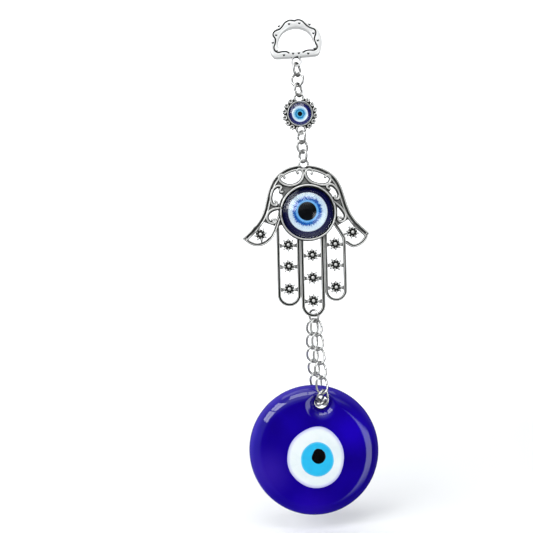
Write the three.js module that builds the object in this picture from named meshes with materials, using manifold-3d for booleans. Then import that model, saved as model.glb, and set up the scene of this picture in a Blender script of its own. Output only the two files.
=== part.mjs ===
// Evil eye ornament: a hanger, jump rings, a small eye connector, an open-work hand with a large eye,
// a doubled link chain and a fused glass disc, hanging plumb.
// Millimetres. X to the right as seen from the front, Y to the back, Z up. The origin is the highest
// point inside the hanger's opening, where a hook or nail holds the ornament.
import * as THREE from "three";
import { mergeVertices } from "three/addons/utils/BufferGeometryUtils.js";
import Module from "manifold-3d";

const wasm = await Module();
wasm.setup();

// ---------------------------------------------------------------- driving dimensions
const AXIS_X = -0.28; // the plumb line through the rings, beside the hook point
const PLAY = 0.06; // clearance between two wires that hang in each other

// hanger casting
const HANGER_THICK = 3.6;
const LUG_Z = -13.3, LUG_HOLE_R = 1.4, LUG_R = 2.25, LUG_THICK = 0.9;

// jump rings
const RING_WIRE = 0.95; // wire diameter
const UPPER_RING_R = 2.55, LOWER_RING_R = 2.4, FINGER_RING_R = 2.4; // to the wire's centre
const UPPER_YAW = [58, -32, 58], LOWER_YAW = [-58, 32, -58], FINGER_YAW = -47; // turn about Z, degrees

// small eye connector
const CONN_BEZEL_R = 5.1, CONN_CUP_R = 4.72, CONN_LUG_AT = 6.3, CONN_LUG_HOLE = 1.35, CONN_LUG_R = 2.1;
const CONN_LOOPS = 16, CONN_LOOP_AT = 6.2, CONN_LOOP_R = 0.95;

// hand casting, in its own frame: origin at the eye's centre, x right, z up
const HAND_LEAN = 2.65; // degrees, top towards +X, which puts both of its hang points on the plumb line
const HAND_EYE_X = 0.05;
const HAND_HALF = 1.05; // half the casting's thickness
const HAND_LUG = [-1.2, 19.5], HAND_LUG_HOLE = 1.35, HAND_LUG_R = 2.15;
const BEZEL_R = 11.3, CUP_R = 10.45, BEZEL_FRONT = 2.5;
const RAIL = 1.35, SCROLL = 0.85;

// chain
const LINK_WIRE = 0.9, LINK_W = 4.2; // wire diameter, and width to the wire's centre
const LINK_TWIST = 45; // degrees each end of a link is twisted about its long axis
const LEVELS = 5; // straight links of each strand, above the one that leans round the glass

// glass disc, in its own frame: origin at the disc's centre, v towards the hole
const DISC_R = 26.0, DISC_FRONT = 4.3, DISC_BACK = 3.5;
const DISC_EDGE_R = 6.2, DISC_FOOT_R = 1.5, DISC_RISE = 0.45; // front edge, back edge, and the face's rise
const HOLE_AT = 19.7, HOLE_R = 2.65, HOLE_Z = -149.97, HOLE_X = -0.03;
const DISC_SWING = 12.1; // degrees the disc has swung to the left about the chain

const D = Math.PI / 180;

// ---------------------------------------------------------------- helpers
function solid(geometry) {
  const g = geometry.index ? geometry.toNonIndexed() : geometry;
  const p = new THREE.BufferGeometry().setAttribute("position", g.getAttribute("position"));
  const m = mergeVertices(p, 1e-4);
  return new wasm.Manifold(
    new wasm.Mesh({
      numProp: 3,
      vertProperties: new Float32Array(m.attributes.position.array),
      triVerts: new Uint32Array(m.index.array),
    }),
  );
}
function geometryOf(s) {
  const m = s.getMesh(), n = m.numProp;
  const v = new Float32Array(m.numVert * 3);
  for (let i = 0; i < m.numVert; i++) v.set(m.vertProperties.subarray(i * n, i * n + 3), i * 3);
  const g = new THREE.BufferGeometry()
    .setAttribute("position", new THREE.BufferAttribute(v, 3))
    .setIndex(new THREE.BufferAttribute(new Uint32Array(m.triVerts), 1));
  g.computeVertexNormals();
  return g;
}
const join = (list) => list.reduce((a, b) => a.add(b));

// A flat outline in x and z, solid from depth d0 to depth d1, depth being towards the front (-Y).
function plate(points, d0, d1, holes = []) {
  const shape = new THREE.Shape(points.map(([x, z]) => new THREE.Vector2(x, z)));
  for (const h of holes) shape.holes.push(new THREE.Path(h.map(([x, z]) => new THREE.Vector2(x, z))));
  const g = new THREE.ExtrudeGeometry(shape, { depth: d1 - d0, bevelEnabled: false, steps: 1 });
  g.translate(0, 0, d0);
  g.rotateX(Math.PI / 2);
  return solid(g);
}
const circle = (cx, cz, r, n = 24, start = 0) =>
  Array.from({ length: n }, (_, i) => {
    const a = start + (i / n) * 2 * Math.PI;
    return [cx + r * Math.cos(a), cz + r * Math.sin(a)];
  });
// A smooth line through some points, as n + 1 points.
function smooth(points, n, closed = false) {
  const c = new THREE.CatmullRomCurve3(points.map(([x, z]) => new THREE.Vector3(x, z, 0)), closed, "centripetal");
  return c.getSpacedPoints(n).slice(0, closed ? n : n + 1).map((p) => [p.x, p.y]);
}
function normals(line) {
  return line.map((p, i) => {
    const a = line[Math.max(i - 1, 0)], b = line[Math.min(i + 1, line.length - 1)];
    const dx = b[0] - a[0], dz = b[1] - a[1], l = Math.hypot(dx, dz) || 1;
    return [-dz / l, dx / l];
  });
}
const offset = (line, by) => {
  const n = normals(line);
  return line.map(([x, z], i) => [x + n[i][0] * by, z + n[i][1] * by]);
};
// A strip of one width along a line, with round ends.
function strip(line, width, d0, d1, caps = 4) {
  const h = width / 2, left = offset(line, h), right = offset(line, -h), n = normals(line);
  const cap = (p, nv, sign) =>
    Array.from({ length: caps - 1 }, (_, i) => {
      const a = ((i + 1) / caps) * Math.PI;
      const t = [nv[1] * sign, -nv[0] * sign];
      const c = Math.cos(a), s = Math.sin(a);
      return [p[0] + h * (-sign * nv[0] * c * -1 * sign * sign + t[0] * s) , p[1] + h * (-sign * nv[1] * c * -1 * sign * sign + t[1] * s)];
    });
  const last = line.length - 1;
  const endCap = cap(line[last], n[last], 1);
  const startCap = cap(line[0], [-n[0][0], -n[0][1]], 1);
  return plate([...left, ...endCap, ...right.slice().reverse(), ...startCap], d0, d1);
}
// A lathe about the Y axis: pairs of radius and depth (towards the front, -Y), axis to axis or closed.
function lathe(pairs, segments, cx = 0, cz = 0) {
  const profile = pairs.map(([r, d]) => new THREE.Vector2(Math.max(r, 0), -d));
  let area = 0;
  profile.forEach((p, i) => {
    const q = profile[(i + 1) % profile.length];
    area += p.x * q.y - q.x * p.y;
  });
  if (area < 0) profile.reverse();
  const g = new THREE.LatheGeometry(profile, segments);
  g.translate(cx, 0, cz);
  return solid(g);
}
// A round wire along a closed loop of points in x and z, about its own centre.
function wireLoop(points, wire, sides) {
  const n = points.length, pos = [], idx = [];
  for (let i = 0; i < n; i++) {
    const a = points[(i + n - 1) % n], b = points[(i + 1) % n];
    const t = new THREE.Vector3(b[0] - a[0], 0, b[1] - a[1]).normalize();
    const out = new THREE.Vector3(t.z, 0, -t.x);
    for (let j = 0; j < sides; j++) {
      const q = ((j + 0.5) / sides) * 2 * Math.PI, r = wire / 2;
      pos.push(points[i][0] + out.x * r * Math.cos(q), r * Math.sin(q), points[i][1] + out.z * r * Math.cos(q));
    }
  }
  for (let i = 0; i < n; i++)
    for (let j = 0; j < sides; j++) {
      const a = i * sides + j, b = i * sides + ((j + 1) % sides);
      const c = ((i + 1) % n) * sides + j, d = ((i + 1) % n) * sides + ((j + 1) % sides);
      idx.push(a, b, d, a, d, c);
    }
  const g = new THREE.BufferGeometry().setAttribute("position", new THREE.Float32BufferAttribute(pos, 3));
  g.setIndex(idx);
  let m = solid(g);
  if (m.volume() < 0) {
    for (let i = 0; i < idx.length; i += 3) [idx[i + 1], idx[i + 2]] = [idx[i + 2], idx[i + 1]];
    g.setIndex(idx);
    m = solid(g);
  }
  return m;
}

const group = new THREE.Group();
const METAL = { color: 0xb9bbbe, metalness: 1.0, roughness: 0.3 };
function put(name, s, material, matrix = null) {
  const g = s.isBufferGeometry ? s : geometryOf(s);
  if (matrix) g.applyMatrix4(matrix);
  const mesh = new THREE.Mesh(g, new THREE.MeshStandardMaterial(material));
  mesh.name = name;
  group.add(mesh);
  return mesh;
}
const at = (x, y, z) => new THREE.Matrix4().makeTranslation(x, y, z);
const turnZ = (deg) => new THREE.Matrix4().makeRotationZ(deg * D);
const turnY = (deg) => new THREE.Matrix4().makeRotationY(deg * D);

// ---------------------------------------------------------------- hanger
// A rounded D with an even outer edge, a straight bottom bar and a small lug under it.
const hangerArch = [];
for (let i = 0; i <= 56; i++) {
  const a = (-22 + (i / 56) * 224) * D; // from the lower right, over the top, to the lower left
  hangerArch.push([-0.2 + 10.55 * Math.cos(a), -6.35 + 9.98 * Math.sin(a)]);
}
const hangerOuter = [
  ...hangerArch,
  [-9.45, -10.85], [-8.6, -11.5], [-7.2, -11.75], [-4.2, -11.65], [-2.2, -11.75],
  [2.0, -11.75], [4.0, -11.65], [6.8, -11.75], [8.2, -11.5], [9.05, -10.85],
];
const hangerInner = smooth(
  [[0, 0], [-2.6, -0.45], [-4.9, -1.7], [-6.4, -3.7], [-7.0, -6.0], [-6.75, -7.9], [-5.6, -8.85], [-3, -8.95],
   [0, -8.95], [3, -8.95], [5.6, -8.85], [6.75, -7.9], [7.0, -6.0], [6.4, -3.7], [4.9, -1.7], [2.6, -0.45]], 44, true);
let hanger = plate(hangerOuter, -HANGER_THICK / 2, HANGER_THICK / 2, [hangerInner]);
const lugPost = plate([[-0.3 - 1.5, -11.2], [-0.3 - 1.75, -12.9], [-0.3 + 1.75, -12.9], [-0.3 + 1.5, -11.2]], -LUG_THICK / 2, LUG_THICK / 2);
hanger = join([hanger, lugPost, plate(circle(-0.3, LUG_Z, LUG_R, 24), -LUG_THICK / 2, LUG_THICK / 2)])
  .subtract(plate(circle(-0.3, LUG_Z, LUG_HOLE_R, 20), -3, 3));
put("hanger", hanger, METAL);

// ---------------------------------------------------------------- jump rings
const ringWire = (R) => wireLoop(circle(0, 0, R, 28), RING_WIRE, 8);
const DROP = RING_WIRE / 2 + 0.13; // from a hole's edge to the centre of the wire in it
const NEST = RING_WIRE + PLAY; // between the centres of two wires that hang in each other

let z = LUG_Z - LUG_HOLE_R + DROP;
const upperCentres = UPPER_YAW.map(() => {
  const c = z - UPPER_RING_R;
  z = c - UPPER_RING_R + NEST;
  return c;
});
UPPER_YAW.forEach((yaw, i) =>
  put("upper_ring_" + (i + 1), ringWire(UPPER_RING_R), METAL, at(AXIS_X, 0, upperCentres[i]).multiply(turnZ(yaw))),
);
z -= NEST; // the bottom wire's centre on the last ring
const CONN_Z = z + DROP - CONN_LUG_HOLE - CONN_LUG_AT;

// ---------------------------------------------------------------- small eye connector
const connParts = [
  lathe([[0, -1.15], [CONN_BEZEL_R - 0.25, -1.15], [CONN_BEZEL_R, -0.9], [CONN_BEZEL_R, 1.05], [CONN_CUP_R + 0.12, 1.3],
         [CONN_CUP_R, 1.1], [CONN_CUP_R, -0.45], [0, -0.45]], 44),
  plate(circle(0, 0, 5.85, 48), -0.75, 0.15, [circle(0, 0, 4.9, 48).reverse()]),
];
for (let i = 0; i < CONN_LOOPS; i++) {
  const a = ((i + 0.5) / CONN_LOOPS) * 2 * Math.PI + Math.PI / 2;
  const cx = CONN_LOOP_AT * Math.cos(a), cz = CONN_LOOP_AT * Math.sin(a);
  connParts.push(plate(circle(cx, cz, CONN_LOOP_R, 12, a), -0.7, 0.7, [circle(cx, cz, 0.42, 8, a).reverse()]));
}
for (const s of [1, -1]) {
  connParts.push(plate(circle(0, s * CONN_LUG_AT, CONN_LUG_R, 24), -LUG_THICK / 2, LUG_THICK / 2));
}
let conn = join(connParts);
for (const s of [1, -1]) conn = conn.subtract(plate(circle(0, s * CONN_LUG_AT, CONN_LUG_HOLE, 20), -3, 3));
conn = conn.subtract(lathe([[0, -0.45], [CONN_CUP_R, -0.45], [CONN_CUP_R, 5], [0, 5]], 44));
const connAt = at(AXIS_X, 0, CONN_Z);
put("connector_casting", conn, METAL, connAt);
put("connector_eye_print", lathe([[0, -0.3], [4.5, -0.3], [4.5, 0.0], [0, 0.0]], 40),
  { color: 0x123a9c, metalness: 0, roughness: 0.5 }, connAt);
put("connector_glass_dome",
  lathe([[0, 0.15], [4.5, 0.15], [4.5, 0.85], [4.2, 1.35], [3.5, 1.95], [2.5, 2.42], [1.3, 2.7], [0, 2.8]], 40),
  { color: 0xdfeaf5, metalness: 0, roughness: 0.05, transparent: true, opacity: 0.35 }, connAt);

z = CONN_Z - CONN_LUG_AT - CONN_LUG_HOLE + DROP;
const lowerCentres = LOWER_YAW.map(() => {
  const c = z - LOWER_RING_R;
  z = c - LOWER_RING_R + NEST;
  return c;
});
LOWER_YAW.forEach((yaw, i) =>
  put("lower_ring_" + (i + 1), ringWire(LOWER_RING_R), METAL, at(AXIS_X, 0, lowerCentres[i]).multiply(turnZ(yaw))),
);
z -= NEST;

// ---------------------------------------------------------------- hand casting
const lean = HAND_LEAN * D;
const handPoint = ([a, b], ex, ez) => [ex + a * Math.cos(lean) + b * Math.sin(lean), ez - a * Math.sin(lean) + b * Math.cos(lean)];
const HAND_EYE_Z = z + DROP - HAND_LUG_HOLE - (handPoint(HAND_LUG, 0, 0)[1]);

const sideL = [[-1.5, 19.1], [-4.3, 19.05], [-6.2, 18.7], [-8.1, 18.0], [-10.0, 17.05], [-11.5, 16.0], [-12.75, 14.85], [-13.8, 13.5], [-14.65, 12.0], [-15.35, 10.3], [-15.95, 8.5],
  [-16.4, 6.7], [-16.8, 4.8], [-17.2, 2.9], [-17.75, 1.0], [-18.5, -0.8], [-19.55, -2.6], [-20.9, -4.3], [-22.5, -6.0], [-24.4, -7.8], [-26.3, -9.5]];
const sideR = [[-1.5, 19.1], [0.8, 19.1], [4.0, 18.5], [6.8, 17.45], [9.15, 16.1], [11.0, 14.5], [12.45, 12.65], [13.45, 10.6], [14.15, 8.6], [14.8, 6.4], [15.45, 4.0],
  [16.2, 1.6], [17.2, -0.8], [18.6, -3.1], [20.4, -5.1], [22.2, -6.7], [24.1, -8.5]];
const underL = [[-26.3, -9.8], [-25, -10.9], [-23.5, -12.0], [-21.5, -12.8], [-19.5, -12.9], [-17.5, -12.3], [-15.5, -11], [-14, -9.3],
  [-13, -7.5], [-12.2, -5.5], [-11.4, -3.3], [-10.6, -1.5]];
const underR = [[24.1, -9.2], [23.3, -11], [21.8, -12.7], [20, -13.8], [18, -14.3], [16.3, -13.6], [14.9, -12.6]];
const strapR = [[10.2, -3.6], [11.6, -6.0], [13.1, -8.4], [14.1, -10.4], [14.4, -12.6]];

const H = HAND_HALF, hand = [];
hand.push(strip(offset(smooth(sideL, 40), 0.95), 1.9, -H, H));
hand.push(strip(offset(smooth(sideR, 40), -0.95), 1.9, -H, H));
hand.push(strip(offset(smooth(underL, 26), 0.6), 1.25, -H, H));
hand.push(strip(offset(smooth(underR, 16), -0.6), 1.25, -H, H));
hand.push(strip(smooth(strapR, 8), 1.3, -H, H));
// Three fingers, each a U of one rail.
const finger = (xa, xb, zBottom, zTopA, zTopB, w) => {
  const R = (xb - xa) / 2, cx = (xa + xb) / 2, cz = zBottom + R, pts = [[xa, zTopA]];
  for (let i = 0; i <= 14; i++) {
    const a = Math.PI + (i / 14) * Math.PI;
    pts.push([cx + R * Math.cos(a), cz + R * Math.sin(a)]);
  }
  pts.push([xb, zTopB]);
  return strip(pts, w, -H, H);
};
hand.push(finger(-12.15, -4.05, -36.6, -5.4, -9.6, RAIL));
hand.push(finger(-2.65, 5.5, -41.1, -10.0, -9.0, RAIL));
hand.push(finger(6.85, 14.35, -35.0, -8.0, -10.4, 1.15));
// Scrolls between the frame and the bezel.
const scrolls = [
  [[-3.6, 15.9], [-4.0, 16.9], [-3.1, 17.6], [-1.9, 17.0], [-1.45, 15.4], [-2.2, 13.2], [-4, 11.6], [-7, 10.9], [-9.9, 11.9], [-11.3, 13.7], [-10.8, 15.3], [-9.4, 15.2], [-9.0, 14.2]],
  [[1.9, 15.6], [2.2, 16.7], [1.2, 17.5], [-0.1, 17.0], [-0.65, 15.7], [-0.2, 14.1], [1.5, 12.2], [5, 11.0], [7.9, 11.1], [9.3, 12.5], [9.2, 14.3], [8.1, 14.9], [7.3, 14.1]],
  [[-9.8, 8.6], [-10.5, 8.4], [-10.9, 9.3], [-10.3, 10.5], [-11.7, 11.0], [-13.6, 9.9], [-14.5, 7.7], [-14.75, 5.5], [-14.0, 3.6], [-12.6, 3.2], [-12.2, 4.2], [-12.9, 4.9]],
  [[8.9, 9.2], [8.0, 9.7], [8.2, 10.8], [9.7, 11.1], [11.3, 10.0], [12.3, 8.5], [12.8, 6.7], [12.1, 5.2], [10.9, 5.4], [11.0, 6.5]],
  [[-10.9, 2.0], [-13.6, 1.8], [-15.7, 0.6], [-16.5, -1.4], [-15.7, -3.3], [-14.0, -4.0], [-12.8, -3.1], [-13.4, -2.2], [-14.3, -2.5]],
  [[10.6, 4.1], [12.5, 2.6], [14.2, 0.7], [15.1, -1.4], [14.5, -3.4], [12.9, -3.9], [11.9, -2.9], [12.5, -2.0], [13.4, -2.4]],
];
for (const s of scrolls) hand.push(strip(smooth(s, 26), SCROLL, -0.85, 0.85, 3));
// A thin plate fills the frame between the scrolls. It is open inside each scroll.
const openings = [
  [[-1.8, 15.0], [-2.5, 13.4], [-4.2, 12.0], [-7.0, 11.35], [-9.5, 12.2], [-10.9, 13.7], [-10.4, 15.4], [-8.2, 16.35], [-5.6, 17.05], [-3.6, 17.25], [-2.2, 17.3], [-1.7, 16.4]],
  [[-0.2, 15.4], [0.2, 14.2], [1.8, 12.6], [5.0, 11.45], [7.7, 11.6], [8.9, 12.7], [8.9, 14.6], [7.2, 15.9], [5.0, 16.75], [2.4, 17.3], [0.8, 17.35], [-0.2, 16.8]],
  [[-11.5, 10.5], [-13.3, 9.5], [-14.1, 7.6], [-14.3, 5.7], [-13.7, 4.0], [-12.4, 3.6], [-11.3, 3.5], [-10.5, 5.2], [-9.6, 6.8], [-10.0, 7.9], [-10.9, 8.2], [-11.1, 9.4]],
  [[9.6, 10.6], [10.9, 9.7], [11.8, 8.4], [12.3, 6.7], [11.8, 5.6], [10.9, 5.5], [10.1, 5.8], [9.1, 7.4], [8.4, 8.4], [9.0, 9.0], [8.7, 10.2]],
  [[-11.5, 1.5], [-13.5, 1.3], [-15.2, 0.2], [-16.0, -1.4], [-15.3, -2.9], [-14.2, -3.5], [-12.7, -3.2], [-12.0, -1.8], [-11.6, -0.2]],
  [[11.2, 3.2], [12.2, 2.2], [13.7, 0.4], [14.6, -1.4], [14.1, -3.0], [13.0, -3.5], [12.0, -3.2], [11.6, -2.2], [11.5, -0.8], [11.5, 1.4]],
].map((o) => smooth(o, 22, true));
const inner = (line, by) => offset(smooth(line, 24), by).filter((p) => p[1] > -3.2);
const plateRim = [...inner(sideL, 1.5), [-12.6, -5.2], [-10.0, -4.5], [10.0, -4.5], [12.1, -5.2], ...inner(sideR, -1.5).reverse().slice(0, -1)];
hand.push(openings.reduce((web, o) => web.subtract(plate(o, -3, 3)), plate(plateRim, -0.7, 0.28)));
// Short joints that fix the scrolls to the frame and to each other.
for (const [x, zz, r] of [[-1.0, 17.4, 0.9], [-11.2, 14.9, 0.95], [9.6, 14.0, 0.9], [-9.3, 10.7, 0.9], [8.2, 10.4, 0.8], [-14.8, 7.0, 0.7],
  [-12.1, 2.6, 0.9], [12.9, 6.9, 0.8], [-16.7, -1.4, 0.9], [15.4, -1.6, 0.9], [-12.4, -4.2, 0.8], [11.6, -3.8, 0.8], [-4.6, 10.7, 0.7], [4.2, 10.8, 0.7], [10.9, 5.0, 0.7], [-1.05, 14.6, 0.55]])
  hand.push(plate(circle(x, zz, r, 8), -0.8, 0.8));
// Flowers: eight petals and a ball, each with two stems to the rails beside it.
const flower = (cx, cz, half, turn) => {
  const star = [];
  for (let i = 0; i < 32; i++) {
    const a = (i / 32) * 2 * Math.PI + turn;
    const r = 1.95 + 0.62 * Math.cos(8 * (a - turn));
    star.push([cx + r * Math.cos(a), cz + r * Math.sin(a)]);
  }
  const ball = new THREE.SphereGeometry(0.85, 10, 6);
  ball.translate(cx, -0.75, cz);
  const parts = [plate(star, -0.75, 0.75), solid(ball)];
  if (half) parts.push(plate([[cx - half, cz - 0.45], [cx + half, cz - 0.45], [cx + half, cz + 0.45], [cx - half, cz + 0.45]], -0.7, 0.55));
  return join(parts);
};
for (const [x, zz] of [[-8.1, -12.7], [-8.1, -21.2], [-8.1, -30.3], [1.4, -16.9], [1.4, -26.0], [1.4, -35.2], [10.6, -12.7], [10.6, -21.0], [10.6, -30.0]])
  hand.push(flower(x, zz, 3.7, 0.15));
const wingStem = (a, b) => strip([a, b], 0.9, -0.7, 0.55);
hand.push(flower(-19.1, -8.2, 0, 0.3), wingStem([-19.1, -8.2], [-21.4, -5.6]), wingStem([-19.1, -8.2], [-18.6, -12.0]));
hand.push(flower(17.7, -8.2, 0, 0.3), wingStem([17.7, -8.2], [19.9, -6.4]), wingStem([17.7, -8.2], [13.6, -9.0]));
// The palm's bezel cup, with a floor behind the eye, and the lug on top.
hand.push(lathe([[0, -H], [BEZEL_R - 0.2, -H], [BEZEL_R, -H + 0.2], [BEZEL_R, 2.1], [CUP_R + 0.2, BEZEL_FRONT], [CUP_R, BEZEL_FRONT - 0.25], [CUP_R, -0.25], [0, -0.25]], 56));
hand.push(plate(circle(HAND_LUG[0], HAND_LUG[1], HAND_LUG_R, 24), -LUG_THICK / 2, LUG_THICK / 2));
const handSolid = join(hand)
  .subtract(plate(circle(HAND_LUG[0], HAND_LUG[1], HAND_LUG_HOLE, 20), -3, 3))
  .subtract(lathe([[0, -0.25], [CUP_R, -0.25], [CUP_R, 9], [0, 9]], 56));
const handAt = at(HAND_EYE_X, 0, HAND_EYE_Z).multiply(turnY(HAND_LEAN));
put("hand_casting", handSolid, METAL, handAt);
put("hand_eye_print", lathe([[0, -0.1], [10.15, -0.1], [10.15, 0.2], [0, 0.2]], 56), { color: 0x123a9c, metalness: 0, roughness: 0.5 }, handAt);
put("hand_glass_dome",
  lathe([[0, 0.35], [10.15, 0.35], [10.15, 1.7], [9.7, 2.5], [8.6, 3.4], [7.0, 4.2], [5.0, 4.8], [2.6, 5.15], [0, 5.25]], 56),
  { color: 0xdfeaf5, metalness: 0, roughness: 0.05, transparent: true, opacity: 0.35 }, handAt);

// ---------------------------------------------------------------- finger ring
const [railX, railZ] = handPoint([1.425, -41.1], HAND_EYE_X, HAND_EYE_Z);
const FINGER_RING_LIFT = 0.88; // the ring bears on the rail's two edges, so its wire clears the middle
const FINGER_RING_Z = railZ + RAIL / 2 + DROP + FINGER_RING_LIFT - FINGER_RING_R;
put("finger_ring", wireLoop(circle(0, 0, FINGER_RING_R, 26), RING_WIRE, 8), METAL, at(railX, 0, FINGER_RING_Z).multiply(turnZ(FINGER_YAW)));

// ---------------------------------------------------------------- chain
// Each link is an oval of round wire whose two ends are twisted opposite ways, so that the links lie
// flat in a row and the ends that hang in each other cross at a right angle.
const LINK_NEST = LINK_WIRE + PLAY;
function twistedLink(length) {
  const r = LINK_W / 2, s = length / 2 - r, half = length / 2, n = 6, sides = 7, flat = [];
  for (const sign of [1, -1])
    for (let i = 0; i <= n; i++) {
      const a = (sign > 0 ? 0 : Math.PI) + (i / n) * Math.PI;
      flat.push([r * Math.cos(a), sign * s + r * Math.sin(a), sign * s]);
    }
  // two more points along each straight side
  const loop = [...flat.slice(0, n + 1), [-r, s / 3, s / 3], [-r, -s / 3, -s / 3], ...flat.slice(n + 1), [r, -s / 3, -s / 3], [r, s / 3, s / 3]];
  const turned = (x, zz) => {
    const t = LINK_TWIST * D * (zz / half);
    return new THREE.Vector3(x * Math.cos(t), x * Math.sin(t), zz);
  };
  const pts = loop.map(([x, zz]) => turned(x, zz));
  const outs = loop.map(([x, zz, core], i) => {
    const t = LINK_TWIST * D * (zz / half);
    return new THREE.Vector3(x * Math.cos(t), x * Math.sin(t), zz - core).normalize();
  });
  const m = pts.length, pos = [], idx = [];
  for (let i = 0; i < m; i++) {
    const t = pts[(i + 1) % m].clone().sub(pts[(i + m - 1) % m]).normalize();
    const o = outs[i].clone().sub(t.clone().multiplyScalar(outs[i].dot(t))).normalize();
    const b = t.clone().cross(o);
    for (let j = 0; j < sides; j++) {
      const q = ((j + 0.5) / sides) * 2 * Math.PI, w = LINK_WIRE / 2;
      const p = pts[i].clone().add(o.clone().multiplyScalar(w * Math.cos(q))).add(b.clone().multiplyScalar(w * Math.sin(q)));
      pos.push(p.x, p.y, p.z);
    }
  }
  for (let i = 0; i < m; i++)
    for (let j = 0; j < sides; j++) {
      const a = i * sides + j, b = i * sides + ((j + 1) % sides);
      const c = ((i + 1) % m) * sides + j, d = ((i + 1) % m) * sides + ((j + 1) % sides);
      idx.push(a, b, d, a, d, c);
    }
  const g = new THREE.BufferGeometry().setAttribute("position", new THREE.Float32BufferAttribute(pos, 3));
  g.setIndex(idx);
  let made = solid(g);
  if (made.volume() < 0) {
    for (let i = 0; i < idx.length; i += 3) [idx[i + 1], idx[i + 2]] = [idx[i + 2], idx[i + 1]];
    g.setIndex(idx);
    made = solid(g);
  }
  return made;
}
// A link from its upper to its lower wire centre, its flat turned by roll about its own long axis.
function placeLink(name, top, bottom, roll) {
  const zAxis = top.clone().sub(bottom);
  const length = zAxis.length();
  zAxis.normalize();
  const mid = top.clone().add(bottom).multiplyScalar(0.5);
  const xAxis = new THREE.Vector3(1, 0, 0);
  xAxis.sub(zAxis.clone().multiplyScalar(xAxis.dot(zAxis))).normalize();
  const yAxis = zAxis.clone().cross(xAxis).normalize();
  const m = new THREE.Matrix4().makeBasis(xAxis, yAxis, zAxis).setPosition(mid).multiply(turnZ(roll));
  put(name, twistedLink(length), METAL, m);
}
const nearTop = FINGER_RING_Z - FINGER_RING_R + (RING_WIRE + LINK_WIRE) / 2 + PLAY + 0.12;
const topFront = new THREE.Vector3(railX + 0.5, -0.52, nearTop);
const topBack = new THREE.Vector3(railX - 0.5, 0.52, nearTop);
// The link that lies through the hole, front to back.
const THROUGH_L = 6.5;
const throughFront = new THREE.Vector3(HOLE_X, -THROUGH_L / 2, HOLE_Z + 0.1);
const throughBack = new THREE.Vector3(HOLE_X, THROUGH_L / 2, HOLE_Z + 0.1);
// The two links that lean round the glass above the hole, lower end first.
const lowFront = throughFront.clone().add(new THREE.Vector3(0.47, 0.75, -0.47));
const lowBack = throughBack.clone().add(new THREE.Vector3(-0.47, -0.74, -0.47));
const LEAN_L = 6.5, LEAN_FRONT = 27, LEAN_BACK = 24;
const highFront = lowFront.clone().add(new THREE.Vector3(0, -LEAN_L * Math.sin(LEAN_FRONT * D), LEAN_L * Math.cos(LEAN_FRONT * D)));
const highBack = lowBack.clone().add(new THREE.Vector3(-0.5, LEAN_L * Math.sin(LEAN_BACK * D), LEAN_L * Math.cos(LEAN_BACK * D)));

// A strand of equal links laid along a gentle bow.
function strand(side, start, end, bow, roll) {
  const steps = [];
  for (let i = 0; i <= LEVELS; i++) {
    const t = i / LEVELS, p = start.clone().lerp(end, t);
    p.x += bow * Math.sin(Math.PI * t);
    steps.push(p);
  }
  for (let i = 0; i < LEVELS; i++) {
    // each step runs from this link's upper wire to the next link's upper wire
    const dir = steps[i + 1].clone().sub(steps[i]).normalize();
    placeLink("chain_" + side + "_" + (i + 1), steps[i], steps[i + 1].clone().add(dir.multiplyScalar(LINK_NEST + (i === LEVELS - 1 ? 0.14 : 0))), roll);
  }
}
strand("front", topFront, highFront, 0.0, 0);
strand("back", topBack, highBack, -1.0, 0);
placeLink("chain_front_6", highFront, lowFront, 0);
placeLink("chain_back_6", highBack, lowBack, 0);
placeLink("chain_hole_link", throughFront, throughBack, 0);

// ---------------------------------------------------------------- glass disc
const swing = DISC_SWING * D;
const discAt = at(HOLE_X - HOLE_AT * Math.sin(swing), 0, HOLE_Z - HOLE_AT * Math.cos(swing)).multiply(turnY(DISC_SWING));
// The face rises a little to its middle and rolls over a broad front edge; the back is flat with a small radius.
const faceDepth = (r) => DISC_FRONT - DISC_RISE * (r / DISC_R) ** 2;
const rollStart = DISC_R + 0.12 - DISC_EDGE_R;
const discProfile = [[0, DISC_FRONT], [8, faceDepth(8)], [14, faceDepth(14)], [rollStart, faceDepth(rollStart)]];
const rollEnd = Math.asin((DISC_R - rollStart) / DISC_EDGE_R);
for (let i = 1; i <= 9; i++) {
  const a = (rollEnd * i) / 9;
  discProfile.push([rollStart + DISC_EDGE_R * Math.sin(a), faceDepth(rollStart) - DISC_EDGE_R * (1 - Math.cos(a))]);
}
for (let i = 0; i <= 3; i++) {
  const a = (Math.PI / 2) * (i / 3);
  discProfile.push([DISC_R - DISC_FOOT_R + DISC_FOOT_R * Math.cos(a), -DISC_BACK + DISC_FOOT_R - DISC_FOOT_R * Math.sin(a)]);
}
discProfile.push([0, -DISC_BACK]);
let disc = lathe(discProfile, 64);
disc = disc.subtract(
  lathe([[0, 7], [7.6, 7], [6.8, 4.4], [5.6, 3.8], [4.4, 3.25], [3.5, 2.5], [2.9, 1.6], [HOLE_R, 0.6], [HOLE_R, -0.6], [2.9, -1.5],
         [3.6, -2.2], [4.6, -2.75], [5.9, -3.15], [7.2, -3.6], [7.6, -7], [0, -7]], 32, 0, HOLE_AT));
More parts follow.
